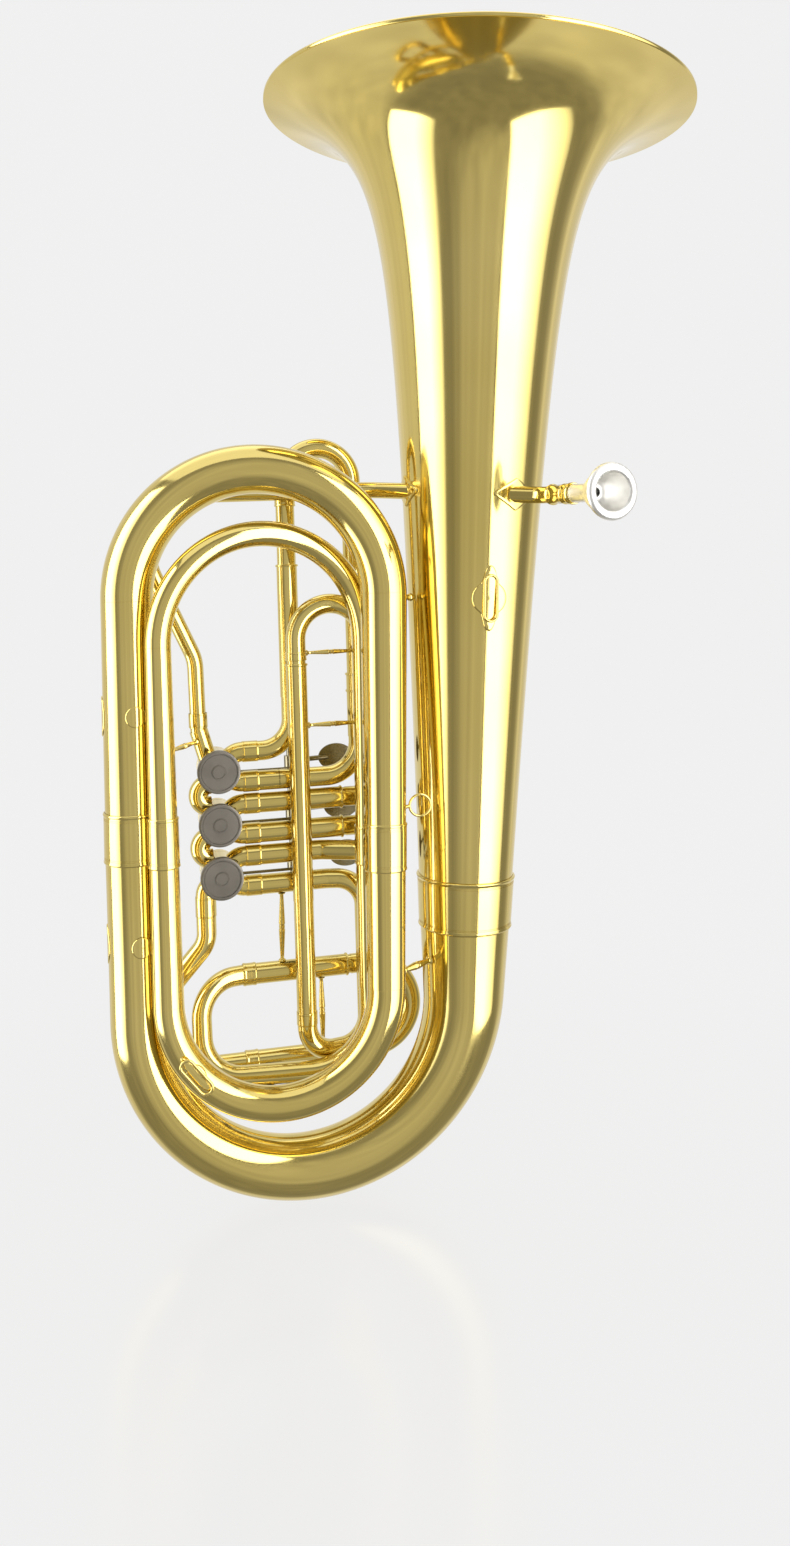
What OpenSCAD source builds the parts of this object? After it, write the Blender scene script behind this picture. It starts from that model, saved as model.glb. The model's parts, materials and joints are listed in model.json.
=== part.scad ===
// Upright oval euphonium with three rotary valves.
// Frame: X to the player's right, Y away from the player, Z up, millimetres.
// The origin is the lowest point of the bottom bow.

/* [Bell] */
// Bell diameter over the rolled rim
bell_d = 305; // [295:1:315]
// Radius of the bell where it meets the bottom bow
bell_throat_r = 31.5; // [30:0.5:32]
// Height of the bell rim above the bottom bow
bell_top = 760; // [740:5:780]
// Lean of the bell to the right, degrees
bell_lean = 0.95; // [0.5:0.05:1.5]
// Radius of the rolled rim wire
rim_wire_r = 1.9; // [1.6:0.1:2.2]

/* [Body tube] */
// Lean of the tube stack to the left, degrees
stack_lean = 1.8; // [1.6:0.1:2]
// Bend radius of the bottom bow
bow_bend_r = 113.5; // [113:0.5:114]
// Outer radius of the left branch at its ferrule
left_r = 18.2; // [17.8:0.1:18.4]
// Outer radius of the right branch at its top
right_r = 16; // [15.6:0.1:16.2]
// Outer radius of the inner left branch at its foot
inner_r = 10.2; // [9.8:0.1:10.4]
// Outer radius of the left branch at its top
left_top_r = 17.4; // [17.2:0.1:17.6]
// Outer radius of the inner top bow
inner_top_r = 8.7; // [8.5:0.1:8.8]
// Outer radius of the third branch at its top
third_r = 8.5; // [8.2:0.1:8.6]
// Wall thickness of the sheet brass
wall = 0.8; // [0.6:0.1:0.9]

/* [Valves] */
// Outer radius of a valve casing
casing_r = 13.3; // [13:0.1:13.6]
// Outer radius of a screw cap
cap_r = 14.9; // [14.6:0.1:15.2]
// Height step from one valve to the next
valve_pitch = 37; // [36.5:0.5:37.5]
// Radius of a rotor
rotor_r = 11.6; // [11.4:0.1:11.8]
// Radial running clearance of rotors, shafts and slides
running_gap = 0.06; // [0.04:0.01:0.08]
// Length of the stop arm from the rotor's axis
stop_arm = 8; // [7.5:0.5:8]
// Length of the lever's crank
crank = 22; // [21:0.5:23]

/* [Small tubes] */
// Outer radius of the valve tubing
tube_r = 7; // [6.9:0.05:7]
// Outer radius of a slide's sleeve
sleeve_r = 7.35; // [7.3:0.05:7.4]
// Outer radius of a slide's inner leg
leg_r = 6.7; // [6.6:0.05:6.75]
// Outer radius of the leadpipe
lead_r = 5.7; // [5.5:0.1:5.8]

/* [Mouthpiece] */
// Outer radius of the mouthpiece rim
rim_r = 18; // [17:0.5:19]
// Radius of the cup's opening
cup_r = 12; // [11.5:0.5:12.5]
// Length of the mouthpiece
mouthpiece_l = 60; // [58:1:61]

/* [Hidden] */
$fn = 48;

BRASS = [0.86, 0.70, 0.30];
NICKEL = [0.55, 0.53, 0.49];
SILVER = [0.90, 0.90, 0.92];
cut = 0.05;          // gap left where two soldered pieces lie on each other
seam = 0.02;         // gap left where a straight run meets a bend
over = 1;            // how far a cutting tool runs past the metal
plate_t = 0.8;       // thickness of the plates soldered to the tubes

// Bell: axis foot, height where it meets the bow, and its flare
bell_foot = [114.2, 0, 133];
bell_low = 180;
flare_cone = 0.0454;     // rise of radius per millimetre in the conical part
flare_reach = 25;        // how quickly the flare opens near the rim
bell_r = bell_d / 2;
flare_size = (bell_r - bell_throat_r - flare_cone * (bell_top - bell_low))
    / (1 / flare_reach - 1 / (bell_top - bell_low + flare_reach));
flare_base = bell_r - flare_size / flare_reach;

// Tube stack, in its own upright frame before it leans
lean_z = 142;                          // height of the point it leans about
left_top = [-111.8, -5, 415.7];
left_foot = [-112.9, -3.5, 243];
right_top = [59.5, -22, 415.7];
right_foot = [50.2, -35, 152];
inner_foot = [-93.8, -28, 152];
inner_top = [-93.5, -27, 385.4];
third_top = [49.5, 1, 385.4];
third_foot = [45.5, 1, 140];
right_foot_r = 12.9;
third_foot_r = 7.4;

// Valve section
valve_x = -53;
valve_z = 294.2;
valve_y = 32;                          // plane of the ports
port = 10.6;                           // height of a port above or below its valve
casing_y = [16, 48];
cap_front = 12.4;
plate_l = 3.5;
shaft_r = 3;
arm_y = [49.6, 52];
rod_y = 54.4;
travel = 2 * stop_arm * sin(45);       // how far a link rod moves
half_press = asin(travel / 2 / crank); // half of a lever's angle
axle_x = 5;
axle_y = rod_y + crank * cos(half_press);
axle_r = 2.5;
rod_drop = 7.2;                        // link rod below its rotor's axis
rod_r = 1.1;

// Slides
curl_x = [1, 49.2];
curl_z = 495.3;
curl_rings = [436.7, 357];
curl_reach = [372, 316];
front_x = [3.3, 15];
side_x = [53, 17.25];
arch_z = 383.2;
main_y = 41;
main_z = [143.5, 80.8];
main_x = 53.3;
bend_2_x = 51.5;

// Wind inlet
lead_turn = [59, 10, 487.5];
lead_end = [164, -55.8, 478.3];        // corner of the leadpipe's last bend
rim_place = [179.2, -142.2, 475.8];
mouth_axis = (rim_place - lead_end) / norm(rim_place - lead_end);
elbow_run = 13;                        // leadpipe from that corner to the receiver
receiver_l = 28;
receiver_r = 6.4;
shank_r = 5;
shank_in = 15;                         // how far the mouthpiece goes into the receiver

function unit(v) = v / norm(v);
function side_of(v) = abs(unit(v).z) < 0.9 ? unit(cross([0, 0, 1], v)) : unit(cross([0, 1, 0], v));
function turn_angle(p, i) = acos(unit(p[i] - p[i - 1]) * unit(p[i + 1] - p[i]));
function trim(p, bend, i) = (i == 0 || i == len(p) - 1) ? 0 : bend[i - 1] * tan(turn_angle(p, i) / 2);
function valve_at(i) = valve_z - valve_pitch * (i - 1);
function mix(a, b, u) = a + (b - a) * u;
function bell_radius(z) = flare_base - flare_cone * (bell_top - z)
    + flare_size / (bell_top - z + flare_reach);

// Places children in a frame with its own origin, X axis and Z axis
module in_frame(o, ex, ez) {
    ey = cross(ez, ex);
    multmatrix([[ex.x, ey.x, ez.x, o.x], [ex.y, ey.y, ez.y, o.y], [ex.z, ey.z, ez.z, o.z], [0, 0, 0, 1]])
        children();
}

// Turns +Z to the line from a to b
module along(a, b) in_frame(a, side_of(b - a), unit(b - a)) children();

module stack() translate([0, 0, lean_z]) rotate([0, -stack_lean, 0]) translate([0, 0, -lean_z]) children();
module bell_frame() translate(bell_foot) rotate([0, bell_lean, 0]) translate([0, 0, -bell_foot.z]) children();

// Straight tube from a to b, with an outer radius at each end
module pipe(a, b, r, t = wall, r2 = -1) {
    end_r = r2 < 0 ? r : r2;
    long = norm(b - a);
    along(a, b) rotate_extrude()
        polygon([[r - t, 0], [r, 0], [end_r, long], [end_r - t, long]]);
}

// Tube along a chain of straight runs joined by round bends
module pipe_path(p, bend, r, t = wall) {
    for (i = [0:len(p) - 2]) {
        d = unit(p[i + 1] - p[i]);
        from = p[i] + d * (trim(p, bend, i) + (i > 0 ? seam : 0));
        to = p[i + 1] - d * (trim(p, bend, i + 1) + (i < len(p) - 2 ? seam : 0));
        if ((to - from) * d > seam) pipe(from, to, r, t);
    }
    for (i = [1:len(p) - 2]) {
        d = unit(p[i] - p[i - 1]);
        axis = unit(cross(d, p[i + 1] - p[i]));
        inward = cross(axis, d);
        in_frame(p[i] - d * trim(p, bend, i) + inward * bend[i - 1], -inward, axis)
            rotate_extrude(angle = turn_angle(p, i)) translate([bend[i - 1], 0])
                difference() {
                    circle(r);
                    circle(r - t);
                }
    }
}

// Raised band round a tube, with a bead at each end
module band(a, b, r, t = 0.7) {
    long = norm(b - a);
    // distance from the end, and height as a share of the band's own
    bead = [[0, 0.5], [0.4, 1.25], [1.1, 1.5], [1.8, 1.25], [2.3, 1]];
    along(a, b) rotate_extrude() polygon(concat([[r + cut, 0]],
        [for (p = bead) [r + cut + t * p[1], p[0]]],
        [for (i = [len(bead) - 1:-1:0]) [r + cut + t * bead[i][1], long - bead[i][0]]],
        [[r + cut, long]]));
}

// Pointed leaf outline
module leaf(long, wide) {
    r = (long * long + wide * wide) / (4 * wide);
    intersection() {
        translate([r - wide / 2, 0]) circle(r, $fn = 120);
        translate([wide / 2 - r, 0]) circle(r, $fn = 120);
    }
}

// Narrow decorative ring round a tube at point a
module ring(a, dir, r, w = 1.6) along(a - unit(dir) * w / 2, a + dir) rotate_extrude()
    translate([r + cut, 0]) square([0.45, w]);

// Turned rod with feet and a ringed waist
module turned_rod(a, b, r = 1.3) {
    long = norm(b - a);
    along(a, b) rotate_extrude() polygon([[0, 0], [r * 2.2, 0], [r * 1.8, 1.2], [r, 2.6], [r * 0.8, long * 0.42],
        [r * 1.7, long * 0.46], [r * 1.3, long * 0.5], [r * 1.7, long * 0.54], [r * 0.8, long * 0.58],
        [r, long - 2.6], [r * 1.8, long - 1.2], [r * 2.2, long], [0, long]]);
}

// Tapered bow: a half circle with straight lead-ins, swept as rings
module bow(centre, ex, ey, bend, a0, a1, lead, r0, r1, power) {
    sides = 28;
    steps = 20;
    total = lead[0] + lead[1] + bend * (a1 - a0) * PI / 180;
    e2 = cross(ex, ey);
    stations = concat([[a0, -lead[0]]], [for (i = [0:steps]) [mix(a0, a1, i / steps), 0]], [[a1, lead[1]]]);
    function travelled(s) = lead[0] + s[1] + bend * (s[0] - a0) * PI / 180;
    function out(a) = cos(a) * ex + sin(a) * ey;
    function forward(a) = -sin(a) * ex + cos(a) * ey;
    function radius(s) = r1 + (r0 - r1) * pow(max(0, 1 - travelled(s) / total), power);
    function circle_at(s, t) = [for (k = [0:sides - 1]) centre + bend * out(s[0]) + s[1] * forward(s[0])
        + (radius(s) - t) * (cos(360 * k / sides) * out(s[0]) + sin(360 * k / sides) * e2)];
    rows = len(stations);
    points = [for (t = [0, wall]) for (s = stations) each circle_at(s, t)];
    function at(layer, row, k) = (layer * rows + row) * sides + k % sides;
    skins = [for (row = [0:rows - 2]) for (k = [0:sides - 1]) for (f = [
        [at(0, row, k), at(0, row, k + 1), at(0, row + 1, k)],
        [at(0, row, k + 1), at(0, row + 1, k + 1), at(0, row + 1, k)],
        [at(1, row, k), at(1, row + 1, k), at(1, row, k + 1)],
        [at(1, row, k + 1), at(1, row + 1, k), at(1, row + 1, k + 1)]]) f];
    ends = [for (k = [0:sides - 1]) for (f = [
        [at(0, 0, k), at(1, 0, k), at(0, 0, k + 1)],
        [at(0, 0, k + 1), at(1, 0, k), at(1, 0, k + 1)],
        [at(0, rows - 1, k), at(0, rows - 1, k + 1), at(1, rows - 1, k)],
        [at(0, rows - 1, k + 1), at(1, rows - 1, k + 1), at(1, rows - 1, k)]]) f];
    polyhedron(points, concat(skins, ends));
}

// Bell ---------------------------------------------------------------
module bell_skin(offset, z0, z1, t) {
    steps = 26;
    // heights crowd towards the rim, where the flare opens fastest
    heights = [for (i = [0:steps]) z1 - (z1 - z0) * pow(1 - i / steps, 2.2)];
    rotate_extrude() polygon(concat([for (z = heights) [bell_radius(z) + offset, z]],
        [for (i = [steps:-1:0]) [bell_radius(heights[i]) + offset - t * (1 + 1.5 * pow(i / steps, 12)), heights[i]]]));
}

module bell() {
    color(BRASS) difference() {
        bell_frame() bell_skin(-cut, bell_low, bell_top, wall);
        // the hole for the leadpipe, which the flanges cover
        stack() along(lead_turn, lead_end) cylinder(h = norm(lead_end - lead_turn), r = lead_r + 1.2);
    }
}

module bell_rim_wire() {
    color(BRASS) bell_frame() translate([0, 0, bell_top]) rotate_extrude()
        translate([bell_r - rim_wire_r, rim_wire_r + cut]) intersection() {
            circle(rim_wire_r);
            translate([-rim_wire_r, -rim_wire_r]) square([2 * rim_wire_r, 1.8 * rim_wire_r]);
        }
}

module bell_ferrule() {
    color(BRASS) bell_frame() {
        rotate_extrude() polygon([for (z = [bell_low + 0.5, 217]) [bell_radius(z) + cut, z],
            for (z = [217, bell_low + 0.5]) [bell_radius(z) + cut + 1.2, z]]);
        for (z = [bell_low + 5, 212]) rotate_extrude() translate([bell_radius(z) + 1.2, z]) circle(0.5);
    }
}

// Bows and branches --------------------------------------------------
module bottom_bow() {
    color(BRASS) bow([0.7, -1.5, 135], unit([1, 0.013, 0]), [0, 0, -1], bow_bend_r, bell_lean,
        180 - stack_lean, [bell_low - 133.2, 107.3], bell_throat_r, left_r, 2.46);
}

module left_ferrule() color(BRASS) stack()
    band(mix(left_foot, left_top, 0.002), mix(left_foot, left_top, 0.19), left_r, 0.8);

module left_branch() color(BRASS) stack() pipe(left_foot, left_top - [0, 0, 0.3], left_r - 0.15, wall,
    left_top_r);

module top_bow() {
    across = right_top - left_top;
    color(BRASS) stack() bow((left_top + right_top) / 2, -unit(across), [0, 0, 1], norm(across) / 2,
        0, 180, [0, 0], left_top_r, right_r, 1);
}

module right_branch() color(BRASS) stack() pipe(right_top - [0, 0, 1], right_foot + [0, 0, 0.8], right_r,
    wall, right_foot_r);

module right_ferrule() {
    u = [0.59, 0.71];
    color(BRASS) stack() band(mix(right_top, right_foot, u[0]), mix(right_top, right_foot, u[1]),
        mix(right_r, right_foot_r, u[0]), 0.6);
}

module inner_bottom_bow() {
    across = inner_foot - right_foot;
    color(BRASS) stack() bow((inner_foot + right_foot) / 2, -unit(across), [0, 0, -1], norm(across) / 2,
        0, 180, [0, 0], right_foot_r, inner_r, 1);
}

module inner_left_branch() color(BRASS) stack() pipe(inner_foot + [0, 0, 0.4], inner_top - [0, 0, 0.4],
    inner_r, wall, inner_top_r);

module inner_left_ferrule() color(BRASS) stack()
    band(mix(inner_foot, inner_top, 0.385), mix(inner_foot, inner_top, 0.525), inner_r - 0.45, 0.6);

module inner_top_bow() {
    across = third_top - inner_top;
    rise = [0, 0, norm(across) / 2];
    color(BRASS) stack() pipe_path([inner_top, inner_top + rise, third_top + rise, third_top],
        [rise.z, rise.z], inner_top_r);
}

module third_branch() color(BRASS) stack() pipe(third_top - [0, 0, 0.3], third_foot, third_r, wall, third_foot_r);

module third_ferrule() {
    u = [0.54, 0.65];
    color(BRASS) stack() band(mix(third_top, third_foot, u[0]), mix(third_top, third_foot, u[1]),
        mix(third_r, third_foot_r, u[0]), 0.6);
}

module third_bow() color(BRASS) stack() {
    far = main_z[0] + 0.5;
    low = 83.7;
    pipe_path([third_foot - [0, 0, 0.2], [third_foot.x, third_foot.y, low], [-69.5, 13, low], [-69.5, 33, far],
        [-37.8, main_y - 0.4, main_z[0]]], [42, 27, 27], tube_r);
}

// Main tuning slide --------------------------------------------------
module main_slide_sleeves() color(BRASS) stack() {
    for (z = main_z) {
        pipe([-35.8, main_y, z], [38, main_y, z], sleeve_r, sleeve_r - leg_r - running_gap);
        for (x = [-34, 37]) ring([x, main_y, z], [1, 0, 0], sleeve_r);
    }
}

module main_slide_crook() color(BRASS) stack() {
    bend = (main_z[0] - main_z[1]) / 2;
    far = main_x + bend;
    for (z = main_z) pipe([-14, main_y, z], [40, main_y, z], leg_r, 0.5);
    pipe_path([[40.1, main_y, main_z[0]], [far, main_y, main_z[0]], [far, main_y, main_z[1]],
        [40.1, main_y, main_z[1]]], [bend - 0.01, bend - 0.01], tube_r);
}

// Valves -------------------------------------------------------------
module at_valve(i, y = 0) stack() translate([valve_x, y, valve_at(i)]) rotate([-90, 0, 0]) children();

// Takes the three casings' own space out of the tubes that meet them
module clear_of_casings() difference() {
    children();
    for (i = [1:3]) translate([valve_x, casing_y[0] - 6, valve_at(i)]) rotate([-90, 0, 0])
        cylinder(h = 46, r = casing_r + cut);
}

module valve_casings() color(BRASS) for (i = [1:3]) at_valve(i, casing_y[0])
    difference() {
        cylinder(h = casing_y[1] - casing_y[0], r = casing_r);
        translate([0, 0, -over]) cylinder(h = casing_y[1] - casing_y[0] + 2 * over, r = rotor_r + running_gap);
    }

module valve_caps() color(NICKEL) for (i = [1:3]) at_valve(i, cap_front)
    rotate_extrude() polygon([[0, 0.9], [1.9, 0.9], [2.1, 0.3], [4.3, 0.3], [4.6, 0.9], [11.2, 0.9], [11.8, 0.2],
        [13.2, 0], [cap_r - 0.5, 0.2], [cap_r, 0.8], [cap_r, 5.6], [casing_r + cut, 5.6], [casing_r + cut, 3.5],
        [0, 3.5]]);

module bearing_plates() color(NICKEL) for (i = [1:3]) at_valve(i, casing_y[1] - plate_l)
    difference() {
        cylinder(h = plate_l, r = rotor_r);
        translate([0, 0, -over]) cylinder(h = plate_l + 2 * over, r = shaft_r + running_gap);
    }

// Short curved tubes at the left, from one valve to the next
module valve_knuckles() color(BRASS) stack() clear_of_casings() for (i = [1:2]) {
    z = valve_at(i) - valve_pitch / 2;
    half = valve_pitch / 2 - port;
    in_frame([valve_x - 5.5, valve_y, z], [0, 0, 1], [0, -1, 0]) rotate_extrude(angle = 180)
        translate([half, 0]) difference() {
            circle(tube_r);
            circle(tube_r - wall);
        }
}

module valve_outlet_pipe() color(BRASS) stack() {
    z = valve_at(3) - port;
    clear_of_casings() pipe_path([[valve_x - 5, valve_y, z + 8], [-63.7, valve_y, z - 8], [-63.7, valve_y, 172],
        [-98, 37, 132], [-98, main_y, main_z[1]], [-36, main_y, main_z[1]]], [14, 20, 18, 21], tube_r);
    band([-63.7, valve_y, z - 12], [-63.7, valve_y, z - 19], tube_r, 0.6);
}

// Straight tube from a valve's right side, at the height of a port
module port_tube(i, up, to_x) {
    z = valve_at(i) + up * port;
    clear_of_casings() pipe([valve_x + 6, valve_y, z], [to_x, valve_y, z], tube_r);
    band([valve_x + 15.5, valve_y, z], [valve_x + 28, valve_y, z], tube_r, 0.5);
}

module slide_1_tubes() color(BRASS) stack() {
    top = valve_at(1) + port;
    low = valve_at(1) - port;
    bore = sleeve_r - leg_r - running_gap;
    port_tube(1, 1, -28);
    port_tube(1, -1, -10);
    pipe_path([[-27.9, valve_y, top], [curl_x[0], valve_y, top], [curl_x[0], valve_y, 342]], [22], tube_r);
    pipe([curl_x[0], valve_y, 342.1], [curl_x[0], valve_y, curl_rings[0]], sleeve_r, bore);
    pipe_path([[-9.9, valve_y, low], [curl_x[1], valve_y, low], [curl_x[1], valve_y, 311]], [24], tube_r);
    pipe([curl_x[1], valve_y, 311.1], [curl_x[1], valve_y, curl_rings[1]], sleeve_r, bore);
    for (k = [0, 1]) ring([curl_x[k], valve_y, curl_rings[k] - 1], [0, 0, 1], sleeve_r);
    ring([curl_x[1], valve_y, curl_rings[1] - 6], [0, 0, 1], sleeve_r);
}

// Sliding crook over two upright legs: feet are the lower ends, shoulders the ends of the thick tube
module upright_crook(left, right, arch, feet, shoulders) {
    bend = norm(right - left) / 2;
    ends = [left, right];
    for (k = [0, 1]) {
        pipe([ends[k].x, ends[k].y, feet[k]], [ends[k].x, ends[k].y, shoulders[k]], leg_r, 0.5);
        ring([ends[k].x, ends[k].y, shoulders[k] + 1.2], [0, 0, 1], tube_r, 2);
    }
    pipe_path([[left.x, left.y, shoulders[0] + 0.1], [left.x, left.y, arch + bend],
        [right.x, right.y, arch + bend], [right.x, right.y, shoulders[1] + 0.1]],
        [bend - 0.01, bend - 0.01], tube_r);
}

module slide_1_crook() color(BRASS) stack()
    upright_crook([curl_x[0], valve_y], [curl_x[1], valve_y], curl_z, curl_reach, [478, 400]);

module slide_2_tubes() color(BRASS) stack() for (up = [1, -1]) {
    z = valve_at(2) + up * port;
    port_tube(2, up, 4);
    pipe([4.1, valve_y, z], [36, valve_y, z], sleeve_r, sleeve_r - leg_r - running_gap);
    ring([35, valve_y, z], [1, 0, 0], sleeve_r);
}

module slide_2_crook() color(BRASS) stack() {
    top = valve_at(2) + port;
    low = valve_at(2) - port;
    far = bend_2_x + port;
    for (z = [top, low]) pipe([8, valve_y, z], [38, valve_y, z], leg_r, 0.5);
    pipe_path([[38.1, valve_y, top], [far, valve_y, top], [far, valve_y, low], [38.1, valve_y, low]],
        [port - 0.01, port - 0.01], tube_r);
}

module slide_3_tubes() color(BRASS) stack() {
    top = valve_at(3) + port;
    low = valve_at(3) - port;
    bore = sleeve_r - leg_r - running_gap;
    port_tube(3, 1, 10);
    pipe_path([[10.1, valve_y, top], [19, valve_y, top], [side_x[0], side_x[1], top],
        [side_x[0], side_x[1], 262]], [14, 13.5], tube_r);
    pipe([side_x[0], side_x[1], 262.1], [side_x[0], side_x[1], 345], sleeve_r, bore);
    port_tube(3, -1, 14);
    pipe_path([[14.1, valve_y, low], [23, valve_y, low], [48.5, 25, low], [48.5, 25, 91.5],
        [front_x[0], front_x[1], 91.5], [front_x[0], front_x[1], 200]], [19, 19, 20, 20], tube_r);
    pipe([front_x[0], front_x[1], 200.1], [front_x[0], front_x[1], 367], sleeve_r - 0.1, bore - 0.1);
    band([front_x[0], front_x[1], 113], [front_x[0], front_x[1], 122], tube_r, 0.5);
    ring([front_x[0], front_x[1], 366], [0, 0, 1], sleeve_r - 0.1);
    ring([side_x[0], side_x[1], 344], [0, 0, 1], sleeve_r);
}

module slide_3_crook() color(BRASS) stack() {
    upright_crook(front_x, side_x, arch_z, [318, 296], [369, 369]);
    turned_rod(mix([front_x[0], front_x[1], 374], [side_x[0], side_x[1], 374], 0.15),
        mix([front_x[0], front_x[1], 374], [side_x[0], side_x[1], 374], 0.85), 1.1);
}

// Wind inlet ---------------------------------------------------------
module leadpipe() color(BRASS) stack() {
    clear_of_casings() pipe([-58.5, valve_y, valve_z + port - 6], [-65, valve_y, 322], lead_r + 0.8);
    pipe_path([[-65, valve_y, 322.1], [-66, 31, 372], [-98, 18, 443], [-84, 15.5, 486.5], lead_turn, lead_end,
        lead_end + mouth_axis * elbow_run], [30, 34, 40, 26, 15], lead_r);
    band([-65, valve_y, 326], [-65.2, 31.8, 334], lead_r, 0.6);
}

module receiver() color(BRASS) stack() {
    from = lead_end + mouth_axis * (elbow_run + 0.1);
    pipe(from, from + mouth_axis * receiver_l, receiver_r, receiver_r - shank_r - running_gap);
    for (u = [1, receiver_l - 10, receiver_l - 1]) ring(from + mouth_axis * u, mouth_axis, receiver_r, 2);
}

// Diamond plates where the leadpipe passes through the bell
module bell_flanges() color(BRASS) {
    axis = unit(lead_end - lead_turn);
    half = [14.8, 11.3];
    z = [450, 520];            // the bell's surface between these heights is all they can lie on
    long = norm(lead_end - lead_turn) / 2;
    for (from = [0, long]) intersection() {
        bell_frame() rotate_extrude() polygon([[bell_radius(z[0]) + cut, z[0]], [bell_radius(z[1]) + cut, z[1]],
            [bell_radius(z[1]) + cut + plate_t, z[1]], [bell_radius(z[0]) + cut + plate_t, z[0]]]);
        stack() in_frame(lead_turn + axis * from, cross(axis, [0, 0, 1]), axis)
            linear_extrude(long) difference() {
                polygon([[-half[0], 0], [0, -half[1]], [half[0], 0], [0, half[1]]]);
                circle(lead_r + cut);
            }
    }
}

module mouthpiece() {
    long = mouthpiece_l - shank_in;
    color(SILVER) stack() in_frame(rim_place, side_of(mouth_axis), -mouth_axis) rotate_extrude() polygon([
        [cup_r, 1.6], [cup_r + 1.2, 0.4], [cup_r + 2.8, 0], [rim_r - 1.4, 0.7], [rim_r, 2.6], [rim_r - 0.7, 4.4],
        [rim_r - 3.2, 6], [14, 10], [12.6, 15], [9.8, 21], [7, 26], [6, 30], [6.3, long], [shank_r, long],
        [shank_r, mouthpiece_l], [shank_r - 0.8, mouthpiece_l], [3.6, 30], [2.9, 25], [3.4, 22], [7.2, 16],
        [10.4, 9.5], [cup_r - 0.4, 4]]);
}

// Action -------------------------------------------------------------
module rotor(i) color(BRASS) at_valve(i, casing_y[0] + 1) {
    body_l = casing_y[1] - plate_l - casing_y[0] - 1.4;
    difference() {
        cylinder(h = body_l, r = rotor_r);
        for (s = [-1, 1]) translate([s * 15, 0, valve_y - casing_y[0] - 1])
            rotate_extrude() translate([9.5, 0]) circle(4.6);
    }
    translate([0, 0, body_l - 0.1]) cylinder(h = arm_y[0] - casing_y[0] - 0.9 - body_l, r = shaft_r);
}

module stop_arm_part(i) color(NICKEL) at_valve(i, arm_y[0] + 0.05) rotate([0, 0, 45]) {
    thick = arm_y[1] - arm_y[0];
    linear_extrude(thick) difference() {
        union() {
            circle(5);
            translate([0, -1.8]) square([stop_arm, 3.6]);
            translate([stop_arm, 0]) circle(2.4);
        }
        translate([stop_arm, 0]) circle(0.8);
    }
    cylinder(h = thick + 1.4, r = 1.8);
}

// Where a lever's crank meets its link rod, at rest
function tip_at(i) = [axle_x + travel / 2, rod_y, valve_at(i) - rod_drop];

module link_rod(i) color(NICKEL) stack() {
    tip = tip_at(i);
    eye_x = valve_x + travel / 2;
    translate([eye_x, rod_y - 1.2, tip.z]) rotate([-90, 0, 0]) cylinder(h = 2.4, r = 2.6);
    along([eye_x + 2.4, rod_y, tip.z], tip) cylinder(h = tip.x - eye_x - 4.4, r = rod_r);
    for (x = [eye_x + 2.4, tip.x - 7]) along([x, rod_y, tip.z], tip) cylinder(h = 5, r = rod_r + 0.5);
    translate([tip.x, tip.y, tip.z - 1.2]) difference() {
        cylinder(h = 2.4, r = 2.5);
        translate([0, 0, -over]) cylinder(h = 5, r = 1.2 + running_gap);
    }
}

module lever(i) color(NICKEL) stack() {
    tip = tip_at(i);
    hub = [axle_x, axle_y, tip.z];
    reach = 33 + 3 * i;
    difference() {
        union() {
            translate(hub - [0, 0, 6]) cylinder(h = 12, r = 4.4);
            translate([0, 0, tip.z - 4.4]) hull() {
                translate([tip.x, tip.y, 0]) cylinder(h = 2.8, r = 2.6);
                translate([hub.x, hub.y, 0]) cylinder(h = 2.8, r = 3.6);
            }
            along(hub + [3, 1.2, 2], hub + [reach - 8, 6, 2]) cylinder(h = reach - 9, r = 1.9);
        }
        translate(hub - [0, 0, 9]) cylinder(h = 20, r = axle_r + running_gap);
    }
    translate([tip.x, tip.y, tip.z - 2]) cylinder(h = 4.4, r = 1.2);
    translate([hub.x + reach, hub.y + 5.6, tip.z + 2]) rotate([-90, 0, 0]) intersection() {
        linear_extrude(2.6) scale([1.35, 1]) circle(10);
        translate([0, 0, -34]) sphere(r = 37);
    }
}

axle_low = tip_at(3).z - 12;
axle_high = tip_at(1).z + 36;

module lever_axle() color(NICKEL) stack()
    translate([axle_x, axle_y, axle_low - 1.5]) cylinder(h = axle_high - axle_low + 3, r = axle_r);

// Two posts on the first and third slides' tubes, each with an eye for the axle
module axle_posts() color(NICKEL) stack() for (z = [axle_low, axle_high]) difference() {
    union() {
        translate([axle_x, axle_y, z - 2]) cylinder(h = 4, r = 4);
        along([axle_x, axle_y - 2, z], [axle_x, 0, z]) cylinder(h = axle_y - 2 - valve_y - sleeve_r - 0.2, r = 1.9);
    }
    translate([axle_x, axle_y, z - 4]) cylinder(h = 8, r = axle_r + 0.02);
}

// Fittings -----------------------------------------------------------
// Thin plate lying on a straight tube, cut to the outline of its children
module saddle(a, b, r, place, axis) intersection() {
    pipe(a, b, r + cut + plate_t, plate_t);
    in_frame(place, side_of(axis), axis) linear_extrude(60) children();
}

module branch_plates() color(BRASS) stack() {
    // each plate's height, and how far back its tube's axis lies
    for (p = [[340, -4.35], [188.6, -3]]) {
        from = [left_foot.x - 0.1, p[1], p[0] - 16];
        to = [left_foot.x, p[1], p[0] + 16];
        saddle(from, to, left_r + 0.25, [-109, p[1], p[0]], [0, -1, 0]) circle(7);
        saddle(from, to, left_r + 0.25, [left_foot.x, p[1], p[0]], [-1, 0, 0]) leaf(27, 14);
    }
}

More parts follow.
